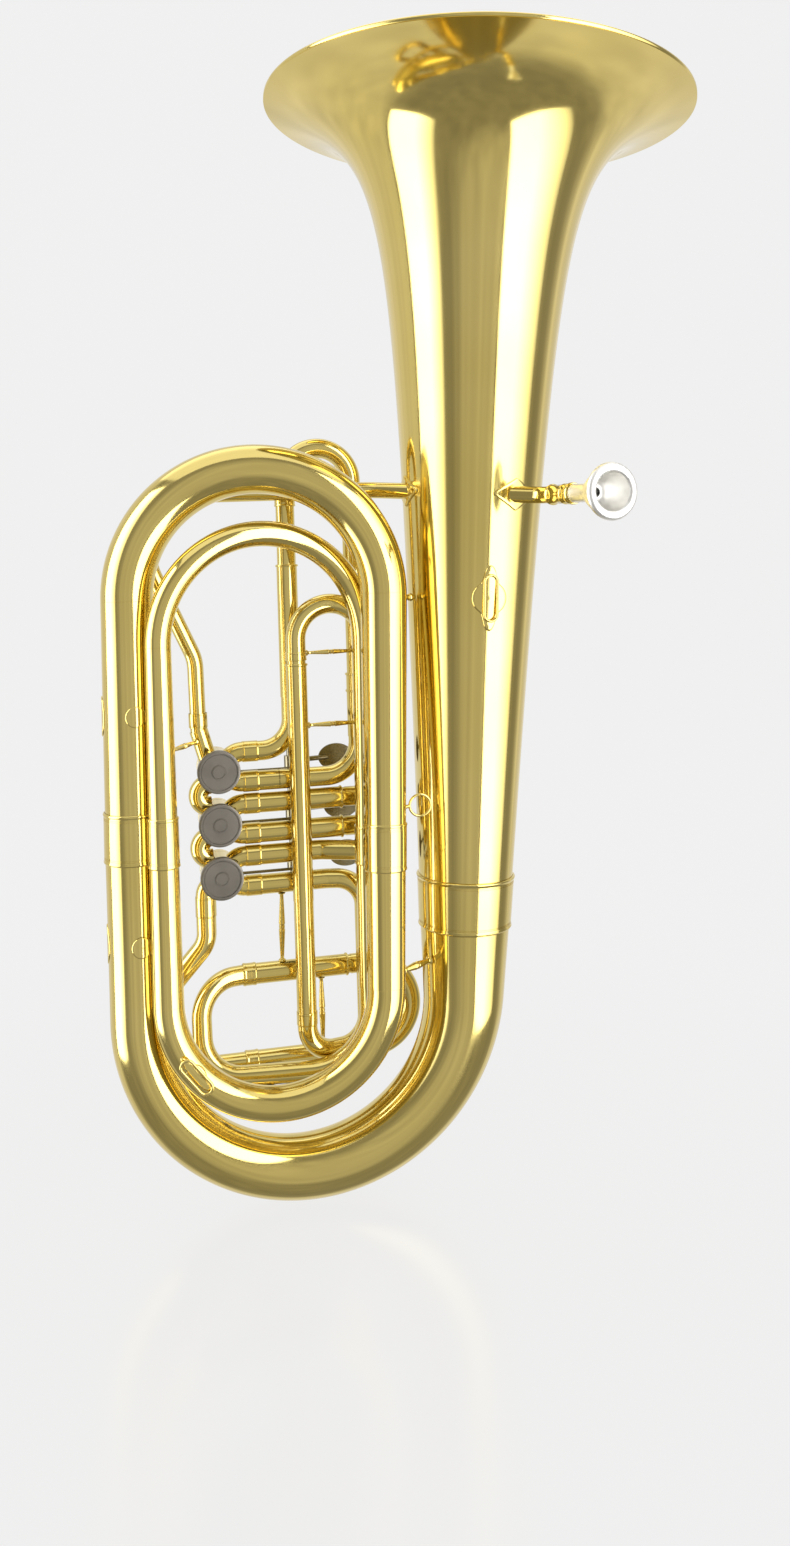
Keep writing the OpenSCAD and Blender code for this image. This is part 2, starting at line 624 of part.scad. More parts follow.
module body_braces() color(BRASS) stack() {
    // ball spacer between the right branch and the bell
    translate([79.6, -15, 411.5]) sphere(r = 2.8);
    along([75.9, -16.5, 411.5], [84, -13, 411.5]) cylinder(h = 8.3, r = 1.5);
    // rod between the right branch and the bottom bow
    turned_rod([63.2, -29, 158], [86.2, -13, 158], 1.6);
    // stay between the inner left branch and the inlet pipe
    turned_rod([-87, -19.5, 316.3], [-67.6, 25.8, 314.5], 1.2);
}

module slide_braces() color(BRASS) stack() {
    turned_rod([front_x[0] + 7.5, front_x[1] + 0.3, 323], [side_x[0] - 7.6, side_x[1] - 0.3, 323], 1.2);
    turned_rod([-9.8, valve_y + 0.6, valve_at(3) - port - 7.2], [-9.8, main_y - 0.4, main_z[0] + 7.6], 1.4);
    turned_rod([18.2, main_y, main_z[0] - 7.5], [18.2, main_y, main_z[1] + 7.5], 1.4);
    turned_rod([24, 26.9, 88.9], [24, main_y - 6.5, main_z[1] + 3.8], 1.1);
}

// Oblong wire loop with straight sides
module wire_loop(long, wide, wire) {
    bend = wide / 2;
    side = long / 2 - bend;
    for (s = [-1, 1]) {
        translate([s * bend, 0, -side]) cylinder(h = 2 * side, r = wire);
        translate([0, 0, s * side]) rotate([90, 0, 0]) rotate([0, 0, s > 0 ? 0 : 180])
            rotate_extrude(angle = 180) translate([bend, 0]) circle(wire);
    }
}

bell_loop = [1, -46.3, 413.6];
bow_loop = [-78, -43.2, 108.5];

module strap_rings() color(BRASS) {
    bell_frame() translate(bell_loop - [0, 0.6, 0]) wire_loop(31, 9, 0.95);
    stack() translate(bow_loop) rotate([0, -38, 0]) wire_loop(27, 8.5, 0.95);
}

module strap_plates() color(BRASS) {
    bell_frame() intersection() {
        rotate_extrude() polygon([for (z = [385, 445]) [bell_radius(z) + cut, z],
            for (z = [445, 385]) [bell_radius(z) + cut + plate_t, z]]);
        translate([bell_loop.x, -30, bell_loop.z]) rotate([90, 0, 0]) linear_extrude(40) leaf(44, 17);
    }
    stack() translate(bow_loop + [0, 1.0, 0]) rotate([0, -38, 0]) rotate([-90, 0, 0])
        linear_extrude(1.4) leaf(32, 10);
}

module thumb_ring() color(BRASS) stack() {
    translate([80.2, -24, 268.8]) rotate([90, 0, 0]) rotate_extrude() translate([7.4, 0]) circle(0.9);
    along([68.6, -26.5, 268.8], [72.8, -24.3, 268.8]) cylinder(h = 4, r = 1.3);
}

key_place = [-38, 9.7, 83.7];
module water_key_saddle() color(BRASS) stack() {
    translate(key_place - [0, 3, 10.4]) cylinder(h = 3.6, r = 2.2);
    translate(key_place + [13, -6, -9.6]) rotate([-90, 0, 0]) cylinder(h = 6, r = 1);
    for (y = [-6.6, -0.4]) translate(key_place + [13, y, -9.6]) rotate([-90, 0, 0]) cylinder(h = 1.2, r = 2.5);
}

module water_key() color(NICKEL) stack() {
    translate(key_place - [0, 3, 13.2]) cylinder(h = 2.6, r = 3.2);
    difference() {
        hull() {
            translate(key_place + [-2, -4.6, -13.2]) cube([4, 3.2, 1.2]);
            translate(key_place + [13, -4.6, -9.6]) rotate([-90, 0, 0]) cylinder(h = 3.2, r = 2.4);
            translate(key_place + [26, -4.6, -12]) cube([3, 3.2, 1.2]);
        }
        translate(key_place + [13, -9, -9.6]) rotate([-90, 0, 0]) cylinder(h = 14, r = 1 + running_gap);
    }
}

bell();
bell_rim_wire();
bell_ferrule();
bottom_bow();
left_ferrule();
left_branch();
top_bow();
right_branch();
right_ferrule();
inner_bottom_bow();
inner_left_ferrule();
inner_left_branch();
inner_top_bow();
third_branch();
third_ferrule();
third_bow();
main_slide_sleeves();
main_slide_crook();
valve_outlet_pipe();
valve_casings();
valve_caps();
bearing_plates();
valve_knuckles();
slide_1_tubes();
slide_1_crook();
slide_2_tubes();
slide_2_crook();
slide_3_tubes();
slide_3_crook();
leadpipe();
receiver();
bell_flanges();
mouthpiece();
rotor(1);  // rotor_1
rotor(2);  // rotor_2
rotor(3);  // rotor_3
stop_arm_part(1);  // stop_arm_1
stop_arm_part(2);  // stop_arm_2
stop_arm_part(3);  // stop_arm_3
link_rod(1);  // link_rod_1
link_rod(2);  // link_rod_2
link_rod(3);  // link_rod_3
lever(1);  // lever_1
lever(2);  // lever_2
lever(3);  // lever_3
lever_axle();
axle_posts();
branch_plates();
body_braces();
slide_braces();
strap_rings();
strap_plates();
thumb_ring();
water_key();
water_key_saddle();
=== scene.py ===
"""Looks of the upright oval euphonium: smooth drawn tubes, lacquer, plating, studio and camera."""
import json
import math

import bmesh
import bpy
from mathutils import Matrix, Vector


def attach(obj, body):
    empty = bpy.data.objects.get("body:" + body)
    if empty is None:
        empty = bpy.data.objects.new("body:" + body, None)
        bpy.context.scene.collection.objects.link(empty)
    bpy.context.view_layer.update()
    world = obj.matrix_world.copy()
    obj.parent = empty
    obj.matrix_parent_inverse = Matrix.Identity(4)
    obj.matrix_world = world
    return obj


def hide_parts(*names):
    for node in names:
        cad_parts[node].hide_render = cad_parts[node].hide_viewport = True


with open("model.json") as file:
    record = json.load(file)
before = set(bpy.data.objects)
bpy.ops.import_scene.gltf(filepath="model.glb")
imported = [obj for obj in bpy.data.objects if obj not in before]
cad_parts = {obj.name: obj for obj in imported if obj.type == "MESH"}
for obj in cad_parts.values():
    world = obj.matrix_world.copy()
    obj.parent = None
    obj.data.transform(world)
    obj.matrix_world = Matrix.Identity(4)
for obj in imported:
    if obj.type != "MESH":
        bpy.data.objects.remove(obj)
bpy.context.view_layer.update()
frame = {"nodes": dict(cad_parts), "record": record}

# Sizes, in millimetres and degrees ---------------------------------------------------------

MM = 0.001

# Walls, the solder under what is laid on a tube, a tube's rounded edge, and the gap in a slide
WALL = 0.8
LEG_WALL = 0.5
SOLDER = 0.05
LIP = 0.06
RUNNING_GAP = 0.06

# How far a tube's end goes into the next one, how far a sleeve's ring stands in from the sleeve's
# end, and how thick the bands of the slides are
JOIN = 0.2
RING_IN = 1
SLIDE_BAND = 0.45

# Bell, with heights along its own axis; the flare is a cone plus a curve that opens fast
BELL_R = 152.5
BELL_TOP = 760
BELL_LOW = 180
BELL_FERRULE_TOP = 217
THROAT_R = 31.5
FLARE_CONE = 0.0454
FLARE_REACH = 25
RIM_WIRE_R = 1.9

# Bottom bow: its bend, the middle of the bend and the straight runs at its bell end and left end
BOTTOM_BEND = 113.5
BOTTOM_MIDDLE = Vector((0.7, -1.5, 135))
BOTTOM_LEADS = (BELL_LOW - 133.2, 107.3)

# Radii and ends of the four branches, each from the end that is nearer the bell
LEFT_R, TOP_LEFT_R = 18.2, 17.4
RIGHT_R, RIGHT_FOOT_R = 16, 12.9
INNER_R, INNER_TOP_R = 10.2, 8.7
THIRD_R, THIRD_FOOT_R = 8.5, 7.4
LEFT_FOOT, LEFT_TOP = Vector((-112.9, -3.5, 243)), Vector((-111.8, -5, 415.7))
RIGHT_TOP, RIGHT_FOOT = Vector((59.5, -22, 415.7)), Vector((50.2, -35, 152))
INNER_FOOT, INNER_TOP = Vector((-93.8, -28, 152)), Vector((-93.5, -27, 385.4))
THIRD_TOP, THIRD_FOOT = Vector((49.5, 1, 385.4)), Vector((45.5, 1, 140))

# Plain tubing, the sleeves and legs of the slides, and the leadpipe
TUBE_R = 7
SLEEVE_R = 7.35
LEG_R = 6.7
LEAD_R = 5.7
SLEEVE_WALL = SLEEVE_R - LEG_R - RUNNING_GAP

# Valves, numbered from the top, with a port above and a port below the middle of each
VALVES = (1, 2, 3)
VALVE_X, VALVE_Y, VALVE_TOP = -53, 32, 294.2
VALVE_PITCH = 37
PORT = 10.6
CASING_R, CASING_BORE_R = 13.3, 11.66
CASING_FRONT, CASING_BACK = 16, 48
CAP_R = 14.9
CAP_FRONT = 12.4

# Main slide, lying level; its legs' heights, the ends of its sleeves and where its bend begins
MAIN_Y, MAIN_TOP, MAIN_LOW = 41, 143.5, 80.8
MAIN_SLEEVE_START, MAIN_SLEEVE_END = -35.8, 38
MAIN_BAND_START, MAIN_BAND_END = -38.5, -29
MAIN_LEG_START, MAIN_LEG_END = -14, 40
MAIN_X = 53.3

# The third bow's left end and its low run, and the two upright runs of the valves' outlet pipe
THIRD_BOW_X, THIRD_BOW_Z = -69.5, 83.7
OUTLET_X, OUTLET_FAR_X = -63.7, -98

# Slide 1's two upright legs and the middle of its bow
CURL_LEFT, CURL_RIGHT, CURL_Z = 1, 49.2, 495.3

# Slide 2's level legs: where they start, where the sleeves and the bow's straight runs end
LOOP_START, LOOP_SLEEVE_START, LOOP_SLEEVE_END = 8, 4, 36
LOOP_LEG_END, LOOP_X = 38, 51.5

# Slide 3's two upright legs, the middle of its bow, and the run down and along to the front leg
FRONT_X, FRONT_Y = 3.3, 15
SIDE_X, SIDE_Y = 53, 17.25
ARCH_Z = 383.2
RETURN_X, RETURN_Y, RETURN_Z = 48.5, 25, 91.5
THIN_SLEEVE = 0.1               # how much the front leg's sleeve is thinner than the others

# Wind inlet: the leadpipe's run through the bell, its elbow, the receiver and the mouthpiece
LEAD_TURN, LEAD_END = Vector((59, 10, 487.5)), Vector((164, -55.8, 478.3))
RIM_PLACE = Vector((179.2, -142.2, 475.8))
MOUTH_AXIS = (RIM_PLACE - LEAD_END).normalized()
ELBOW_RUN = 13
RECEIVER_L = 28
MOUTHPIECE_L, SHANK_IN = 60, 15
MOUTHPIECE_R, CUP_R, THROAT_BORE_R = 18, 12, 2.9
CUP_EDGE, CUP_DEEP = 1.6, 21

# Middles of the two plates that hold the strap rings
BELL_LOOP, BOW_LOOP = Vector((1, -46.3, 413.6)), Vector((-78, -43.2, 108.5))

# The stack and the bell are drawn upright, and these put them at their lean.
STACK_LEAN, STACK_PIVOT = 1.8, Vector((0, 0, 142))
BELL_LEAN, BELL_FOOT = 0.95, Vector((114.2, 0, 133))
UPRIGHT_STACK = Matrix.Translation(STACK_PIVOT) @ Matrix.Rotation(-math.radians(STACK_LEAN), 4, "Y") \
    @ Matrix.Translation(-STACK_PIVOT)
UPRIGHT_BELL = Matrix.Translation(BELL_FOOT) @ Matrix.Rotation(math.radians(BELL_LEAN), 4, "Y") \
    @ Matrix.Translation(Vector((0, 0, -BELL_FOOT.z)))
IN_PLACE = Matrix.Identity(4)

RING_EVERY = 4                  # degrees of a pipe's bend between two rings of its mesh
SHARP_FROM = 38                 # degrees between two faces from which their edge stays sharp
CAMERA_TURN = 13                # degrees that the camera looks to the right of straight ahead


def mix(a, b, u):
    return a + (b - a) * u


def valve_z(i):
    return VALVE_TOP - VALVE_PITCH * (i - 1)


def side_of(direction):
    """A direction square to the one given."""
    up = Vector((0, 0, 1)) if abs(direction.normalized().z) < 0.9 else Vector((0, 1, 0))
    return up.cross(direction).normalized()


# Materials ---------------------------------------------------------------------------------

def new_metal(name, base, roughness, coat=0.0):
    material = bpy.data.materials.new(name)
    material.use_nodes = True
    shader = material.node_tree.nodes["Principled BSDF"]
    shader.inputs["Base Color"].default_value = (*base, 1)
    shader.inputs["Metallic"].default_value = 1
    shader.inputs["Roughness"].default_value = roughness
    shader.inputs["Coat Weight"].default_value = coat
    shader.inputs["Coat Roughness"].default_value = 0.03
    return material, shader, material.node_tree


def noise(tree, scale, detail=3.0, stretch=(1, 1, 1)):
    """Noise in the object's own space; a higher scale or stretch makes it finer."""
    place = tree.nodes.new("ShaderNodeTexCoord")
    mapping = tree.nodes.new("ShaderNodeMapping")
    mapping.inputs["Scale"].default_value = stretch
    texture = tree.nodes.new("ShaderNodeTexNoise")
    texture.inputs["Scale"].default_value = scale
    texture.inputs["Detail"].default_value = detail
    tree.links.new(place.outputs["Object"], mapping.inputs["Vector"])
    tree.links.new(mapping.outputs["Vector"], texture.inputs["Vector"])
    return texture.outputs["Fac"]


def ramp(tree, source, low, high, a, b):
    """Maps a value from low..high to the colours a..b."""
    node = tree.nodes.new("ShaderNodeValToRGB")
    node.color_ramp.elements[0].position = low
    node.color_ramp.elements[1].position = high
    node.color_ramp.elements[0].color = (*a, 1)
    node.color_ramp.elements[1].color = (*b, 1)
    tree.links.new(source, node.inputs["Fac"])
    return node.outputs["Color"]


def span(tree, source, low, high):
    """Maps 0..1 to low..high."""
    node = tree.nodes.new("ShaderNodeMapRange")
    node.inputs["To Min"].default_value = low
    node.inputs["To Max"].default_value = high
    tree.links.new(source, node.inputs["Value"])
    return node.outputs["Result"]


def bump(tree, shader, source, strength, distance):
    node = tree.nodes.new("ShaderNodeBump")
    node.inputs["Strength"].default_value = strength
    node.inputs["Distance"].default_value = distance
    tree.links.new(source, node.inputs["Height"])
    tree.links.new(node.outputs["Normal"], shader.inputs["Normal"])


def lacquered_brass():
    """Bright brass, unevenly polished, under a thin lacquer."""
    material, shader, tree = new_metal("lacquered_brass", (0.74, 0.58, 0.19), 0.1, coat=0.15)
    colour = ramp(tree, noise(tree, 9.0), 0.3, 0.75, (0.71, 0.56, 0.17), (0.77, 0.62, 0.22))
    tree.links.new(colour, shader.inputs["Base Color"])
    smear = noise(tree, 46.0, detail=6.0, stretch=(1, 1, 0.35))
    tree.links.new(span(tree, smear, 0.05, 0.16), shader.inputs["Roughness"])
    bump(tree, shader, noise(tree, 22.0, detail=1.0), 0.05, 0.0006)
    return material


def nickel_silver(name, base, rough_low, rough_high):
    """Satin nickel silver with a fine grain."""
    material, shader, tree = new_metal(name, base, rough_low)
    grain = noise(tree, 900.0, detail=2.0, stretch=(1, 1, 0.15))
    tree.links.new(span(tree, grain, rough_low, rough_high), shader.inputs["Roughness"])
    shade = tuple(0.8 * c for c in base)
    colour = ramp(tree, noise(tree, 60.0), 0.3, 0.7, shade, base)
    tree.links.new(colour, shader.inputs["Base Color"])
    bump(tree, shader, grain, 0.08, 0.00005)
    return material


def silver_plate():
    material, shader, tree = new_metal("silver_plate", (0.84, 0.83, 0.80), 0.4)
    tree.links.new(span(tree, noise(tree, 40.0), 0.38, 0.46), shader.inputs["Roughness"])
    return material


brass = lacquered_brass()
cap_metal = nickel_silver("cap_nickel", (0.235, 0.215, 0.185), 0.36, 0.5)
action_metal = nickel_silver("action_nickel", (0.25, 0.22, 0.14), 0.14, 0.26)
silver = silver_plate()
FINISH = {"lacquered_brass": brass, "nickel": action_metal, "rotor_brass": brass, "silver": silver}


# Mesh building -----------------------------------------------------------------------------

def in_casing(p):
    """Whether a point lies inside one of the three valve casings."""
    return any(math.hypot(p.x - VALVE_X, p.z - valve_z(i)) < CASING_R for i in VALVES)


def casing_wall(clear, inside):
    """The point between one clear of the casings and one inside, where the wall is, by halving."""
    for _ in range(20):
        halfway = (clear + inside) / 2
        clear, inside = (clear, halfway) if in_casing(halfway) else (halfway, inside)
    return inside


def end_on_casings(rings):
    """Stops a tube where it meets a casing: each line along it ends on the casing's wall."""
    middle = len(rings) // 2
    for order in (rings[middle::-1], rings[middle:]):
        for k in range(len(rings[0])):
            stop = None
            for before, ring in zip(order, order[1:]):
                if stop is None and in_casing(ring[k]):
                    stop = casing_wall(before[k], ring[k])
                if stop is not None:
                    ring[k] = stop


def lipped(stations):
    """Adds a ring close to each end, so that only the very edge of the tube is rounded."""
    def beside(end, following):
        way = following[0] - end[0]
        return [(end[0] + way.normalized() * LIP, *end[1:])] if way.length > 2 * LIP else []
    first, last = stations[0], stations[-1]
    return [first, *beside(first, stations[1]), *stations[1:-1], *beside(last, stations[-2]), last]


def mirrored(half, long):
    """An outline of (radius, height) that goes on with its own mirror image, up to a height."""
    return half + [(radius, long - height) for radius, height in reversed(half)]


class Metal:
    """Collects the walls of one piece, in millimetres, in the frame that it stands upright in."""

    def __init__(self, upright=UPRIGHT_STACK, sides=72, meets_casings=False):
        self.upright = upright
        self.meets_casings = meets_casings
        self.turns = [2 * math.pi * k / sides for k in range(sides)]
        self.points = []
        self.faces = []

    def circle(self, centre, e1, e2, r):
        return [centre + r * (math.cos(w) * e1 + math.sin(w) * e2) for w in self.turns]

    def loops(self, rings, closed=False):
        """Joins rings of points with quads."""
        start = len(self.points)
        n = len(rings[0])
        for ring in rings:
            self.points.extend(ring)
        for i in range(len(rings) if closed else len(rings) - 1):
            a = start + i * n
            b = start + (i + 1) % len(rings) * n
            for k in range(n):
                k2 = (k + 1) % n
                self.faces.append((a + k, a + k2, b + k2, b + k))

    def sweep(self, stations, thickness):
        """A hollow tube along stations of (centre, first side, second side, radius)."""
        def walls(order, depth):
            return [self.circle(centre, e1, e2, r - depth) for centre, e1, e2, r in order]
        stations = lipped(stations)
        outer = walls(stations, 0)
        outer[0], outer[-1] = walls([stations[0], stations[-1]], min(LIP, thickness / 3))
        inner = walls(reversed(stations), thickness)
        if self.meets_casings:
            end_on_casings(outer)
            end_on_casings(inner)
        self.loops([*outer, *inner], closed=True)

    def pipe(self, a, b, r, thickness=WALL, r2=None, level=False):
        """A straight tube. Its ends are square to it, or level where it meets an upright bow."""
        a, b = Vector(a), Vector(b)
        way = (b - a).normalized()
        e1 = Vector((1, 0, 0)) if level else side_of(way)
        e2 = Vector((0, math.copysign(1, way.z), 0)) if level else way.cross(e1)
        self.sweep([(a, e1, e2, r), (b, e1, e2, r if r2 is None else r2)], thickness)

    def path(self, points, bends, r):
        """Straight runs joined by round bends, as one tube."""
        p = [Vector(q) for q in points]
        ways = [(after - before).normalized() for before, after in zip(p, p[1:])]
        side = side_of(ways[0])
        stations = [(p[0], side, ways[0].cross(side), r)]
        for corner, bend, before, after in zip(p[1:], bends, ways, ways[1:]):
            turn = before.angle(after)
            axis = before.cross(after).normalized()
            trim = bend * math.tan(turn / 2)
            inward = axis.cross(before)
            centre = corner - before * trim + inward * bend
            steps = max(3, math.ceil(math.degrees(turn) / RING_EVERY))
            first = stations[-1][1]
            begun = (centre - bend * inward - stations[-1][0]).length < LIP / 10
            for k in range(1 if begun else 0, steps + 1):
                spin = Matrix.Rotation(turn * k / steps, 3, axis)
                side = spin @ first
                stations.append((centre - bend * (spin @ inward), side, (spin @ before).cross(side), r))
        side = stations[-1][1]
        stations.append((p[-1], side, ways[-1].cross(side), r))
        self.sweep(stations, WALL)

    def turned(self, outline, place, axis):
        """A closed outline of (radius, height) turned about an axis."""
        axis = Vector(axis).normalized()
        e1 = side_of(axis)
        e2 = axis.cross(e1)
        rings = [self.circle(Vector(place) + axis * height, e1, e2, radius) for radius, height in outline]
        self.loops(rings, closed=True)

    def band(self, a, b, r, thick, r2=None):
        """A ferrule: a flat band with a bead and an engraved pair of lines near each end."""
        a, b = Vector(a), Vector(b)
        long = (b - a).length
        end_r = r if r2 is None else r2
        bead = [(0, 0), (0, 0.7), (0.4, 1.25), (1.1, 1.5), (1.8, 1.25), (2.2, 1)]
        lines = [(3.1, 1), (3.15, 0.7), (3.45, 0.7), (3.5, 1), (4.1, 1), (4.15, 0.7), (4.45, 0.7), (4.5, 1)]
        squeeze = min(1, long / 10)
        half = [(height * squeeze, lift * thick) for height, lift in bead + lines]
        outline = [(mix(r, end_r, h / long) + SOLDER + lift, h) for h, lift in half]
        outline += [(mix(end_r, r, h / long) + SOLDER + lift, long - h) for h, lift in reversed(half)]
        self.turned(outline, a, b - a)

    def sleeve(self, a, b, r):
        """A plain joining sleeve with one fine line near each end."""
        a, b = Vector(a), Vector(b)
        thick, line = 0.4, 0.22
        half = [(r + SOLDER, 0), (r + thick * 0.7, 0), (r + thick, 0.2), (r + thick, 0.9),
                (r + thick - line, 1.05), (r + thick, 1.2)]
        self.turned(mirrored(half, (b - a).length), a, b - a)

    def ring(self, place, axis, r):
        """A narrow rounded collar."""
        wide = 1.6
        outline = [(r + SOLDER, -wide / 2), (r + 0.45, -wide / 2), (r + 0.75, -wide / 4), (r + 0.8, 0),
                   (r + 0.75, wide / 4), (r + 0.45, wide / 2), (r + SOLDER, wide / 2)]
        self.turned(outline, place, axis)

    def rod(self, a, b, r):
        """A turned stay: two long cones with round feet and a grooved waist."""
        a, b = Vector(a), Vector(b)
        long = (b - a).length
        foot = [(0.01, 0), (r * 1.9, 0), (r * 1.95, 0.35), (r * 1.7, 0.8), (r * 1.1, 1.3), (r * 0.95, 1.9)]
        cone = [(r * mix(0.95, 1.65, u / 6), mix(1.9, long * 0.44, u / 6)) for u in range(1, 7)]
        waist = [(r * 1.7, long * 0.45), (r * 1.6, long * 0.46), (r * 1.2, long * 0.467),
                 (r * 1.2, long * 0.478), (r * 1.5, long * 0.484), (r * 1.55, long * 0.49)]
        self.turned(mirrored(foot + cone + waist, long), a, b - a)

    def bow(self, centre, ex, ey, bend, ends, leads, radii, power):
        """A tapered bend between two angles in degrees, with straight lead-ins."""
        e2 = ex.cross(ey)
        start, end = ends
        total = leads[0] + bend * math.radians(end - start) + leads[1]
        steps = 90
        marks = [(start, -leads[0]), (start, -leads[0] / 2)] if leads[0] else []
        marks += [(mix(start, end, i / steps), 0) for i in range(steps + 1)]
        marks += [(end, leads[1] * k / 8) for k in range(1, 9)] if leads[1] else []
        stations = []
        for angle, run in marks:
            a = math.radians(angle)
            out = math.cos(a) * ex + math.sin(a) * ey
            forward = -math.sin(a) * ex + math.cos(a) * ey
            travelled = (leads[0] + run + bend * math.radians(angle - start)) / total
            radius = radii[1] + (radii[0] - radii[1]) * max(0, 1 - travelled) ** power
            stations.append((centre + bend * out + run * forward, out, e2, radius))
        self.sweep(stations, WALL)

    def crook(self, left, right, arch, feet, shoulders):
        """A sliding bow on two upright legs, with a collar where each leg meets it."""
        left, right = Vector((*left, 0)), Vector((*right, 0))
        up = Vector((0, 0, 1))
        bend = (right - left).length / 2
        collar = 6
        for end, foot, shoulder in ((left, feet[0], shoulders[0]), (right, feet[1], shoulders[1])):
            self.pipe(end + up * foot, end + up * shoulder, LEG_R, LEG_WALL)
            self.band(end + up * shoulder, end + up * (shoulder + collar), TUBE_R - 0.1, SLIDE_BAND)
        self.path([left + up * shoulders[0], left + up * (arch + bend), right + up * (arch + bend),
                   right + up * shoulders[1]], [bend, bend], TUBE_R)

    def mesh(self, name):
        """The walls as a mesh; where lines were stopped on a casing, the doubled points are joined."""
        mesh = bpy.data.meshes.new(name)
        mesh.from_pydata([(self.upright @ p) * MM for p in self.points], [], self.faces)
        if self.meets_casings:
            shape = bmesh.new()
            shape.from_mesh(mesh)
            bmesh.ops.remove_doubles(shape, verts=shape.verts, dist=0.0005 * MM)
            shape.to_mesh(mesh)
            shape.free()
        mesh.validate()
        mesh.update()
        return mesh

    def made(self, node, body="root", material=brass):
        """Turns the walls into the smooth piece that stands for a CAD node."""
        mesh = self.mesh(node + "_finish")
        piece = bpy.data.objects.new(node + "_finish", mesh)
        bpy.context.scene.collection.objects.link(piece)
        mesh.materials.append(material)
        mesh.shade_smooth()
        mesh.set_sharp_from_angle(angle=math.radians(SHARP_FROM))
        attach(piece, body)
        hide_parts(node)


# Bell --------------------------------------------------------------------------------------

def bell_radius(z):
    """Cone with a flare that opens fast near the rim."""
    tall = BELL_TOP - BELL_LOW
    size = (BELL_R - THROAT_R - FLARE_CONE * tall) / (1 / FLARE_REACH - 1 / (tall + FLARE_REACH))
    base = BELL_R - size / FLARE_REACH
    return base - FLARE_CONE * (BELL_TOP - z) + size / (BELL_TOP - z + FLARE_REACH)


def make_bell():
    """The bell's wall, which thickens at the rim, with its rings closer together there."""
    steps = 150
    shares = [i / steps for i in range(steps + 1)]
    heights = [BELL_TOP - (BELL_TOP - BELL_LOW) * (1 - share) ** 2.2 for share in shares]
    outer = [(bell_radius(z) - SOLDER, z) for z in heights]
    inner = [(r - WALL * (1 + 1.5 * share ** 12), z) for share, (r, z) in zip(shares, outer)]
    bell = Metal(UPRIGHT_BELL, sides=160)
    bell.turned(outer + inner[::-1], (0, 0, 0), (0, 0, 1))
    bell.made("bell")


def make_bell_rim_wire():
    """The wire in the rolled rim, a little flat on its upper side."""
    centre_r, centre_z = BELL_R - RIM_WIRE_R, BELL_TOP + RIM_WIRE_R + SOLDER
    points = 24
    outline = []
    for k in range(points):
        angle = 2 * math.pi * k / points
        lift = min(0.8, math.sin(angle))
        outline.append((centre_r + RIM_WIRE_R * math.cos(angle), centre_z + RIM_WIRE_R * lift))
    rim = Metal(UPRIGHT_BELL, sides=160)
    rim.turned(outline, (0, 0, 0), (0, 0, 1))
    rim.made("bell_rim_wire")


def make_bell_ferrule():
    ferrule = Metal(UPRIGHT_BELL, sides=120)
    ferrule.band((0, 0, BELL_LOW + 0.5), (0, 0, BELL_FERRULE_TOP), bell_radius(BELL_LOW), 1.1,
                 bell_radius(BELL_FERRULE_TOP))
    ferrule.made("bell_ferrule")


# Bows and branches -------------------------------------------------------------------------

def make_branch(node, a, b, radii, sides=72):
    """A tapered straight branch whose ends are level."""
    branch = Metal(sides=sides)
    branch.pipe(a, b, radii[0], WALL, radii[1], level=True)
    branch.made(node)


def make_ferrule(node, a, b, radii, reach, thick):
    """A ferrule on a tapered branch, between two shares of the way along it."""
    low, high = reach
    ferrule = Metal(sides=96)
    ferrule.band(mix(a, b, low), mix(a, b, high), mix(*radii, low), thick, mix(*radii, high))
    ferrule.made(node)


def make_half_bow(node, start, end, over, radii):
    """A tapered half circle from one branch's end to another's, on the side that over points to."""
    across = end - start
    bow = Metal(sides=96)
    bow.bow((start + end) / 2, -across.normalized(), over, across.length / 2, (0, 180), (0, 0), radii, 1)
    bow.made(node)


def make_bottom_bow():
    bow = Metal(IN_PLACE, sides=112)
    bow.bow(BOTTOM_MIDDLE, Vector((1, 0.013, 0)).normalized(), Vector((0, 0, -1)), BOTTOM_BEND,
            (BELL_LEAN, 180 - STACK_LEAN), BOTTOM_LEADS, (THROAT_R, LEFT_R), 2.46)
    bow.made("bottom_bow")


def make_inner_top_bow():
    bow = Metal()
    rise = Vector((0, 0, (THIRD_TOP - INNER_TOP).length / 2))
    bow.path([INNER_TOP, INNER_TOP + rise, THIRD_TOP + rise, THIRD_TOP], [rise.z, rise.z], INNER_TOP_R)
    bow.made("inner_top_bow")


def make_third_bow():
    """From the third branch's foot down, to the left, up and back, and into the main slide's sleeve."""
    bow = Metal()
    bow.path([THIRD_FOOT, (THIRD_FOOT.x, THIRD_FOOT.y, THIRD_BOW_Z), (THIRD_BOW_X, 13, THIRD_BOW_Z),
              (THIRD_BOW_X, 33, MAIN_TOP + 0.5), (-39.5, MAIN_Y - 0.5, MAIN_TOP),
              (-36.1, MAIN_Y - 0.2, MAIN_TOP)], [42, 27, 27, 12], TUBE_R)
    bow.made("third_bow")


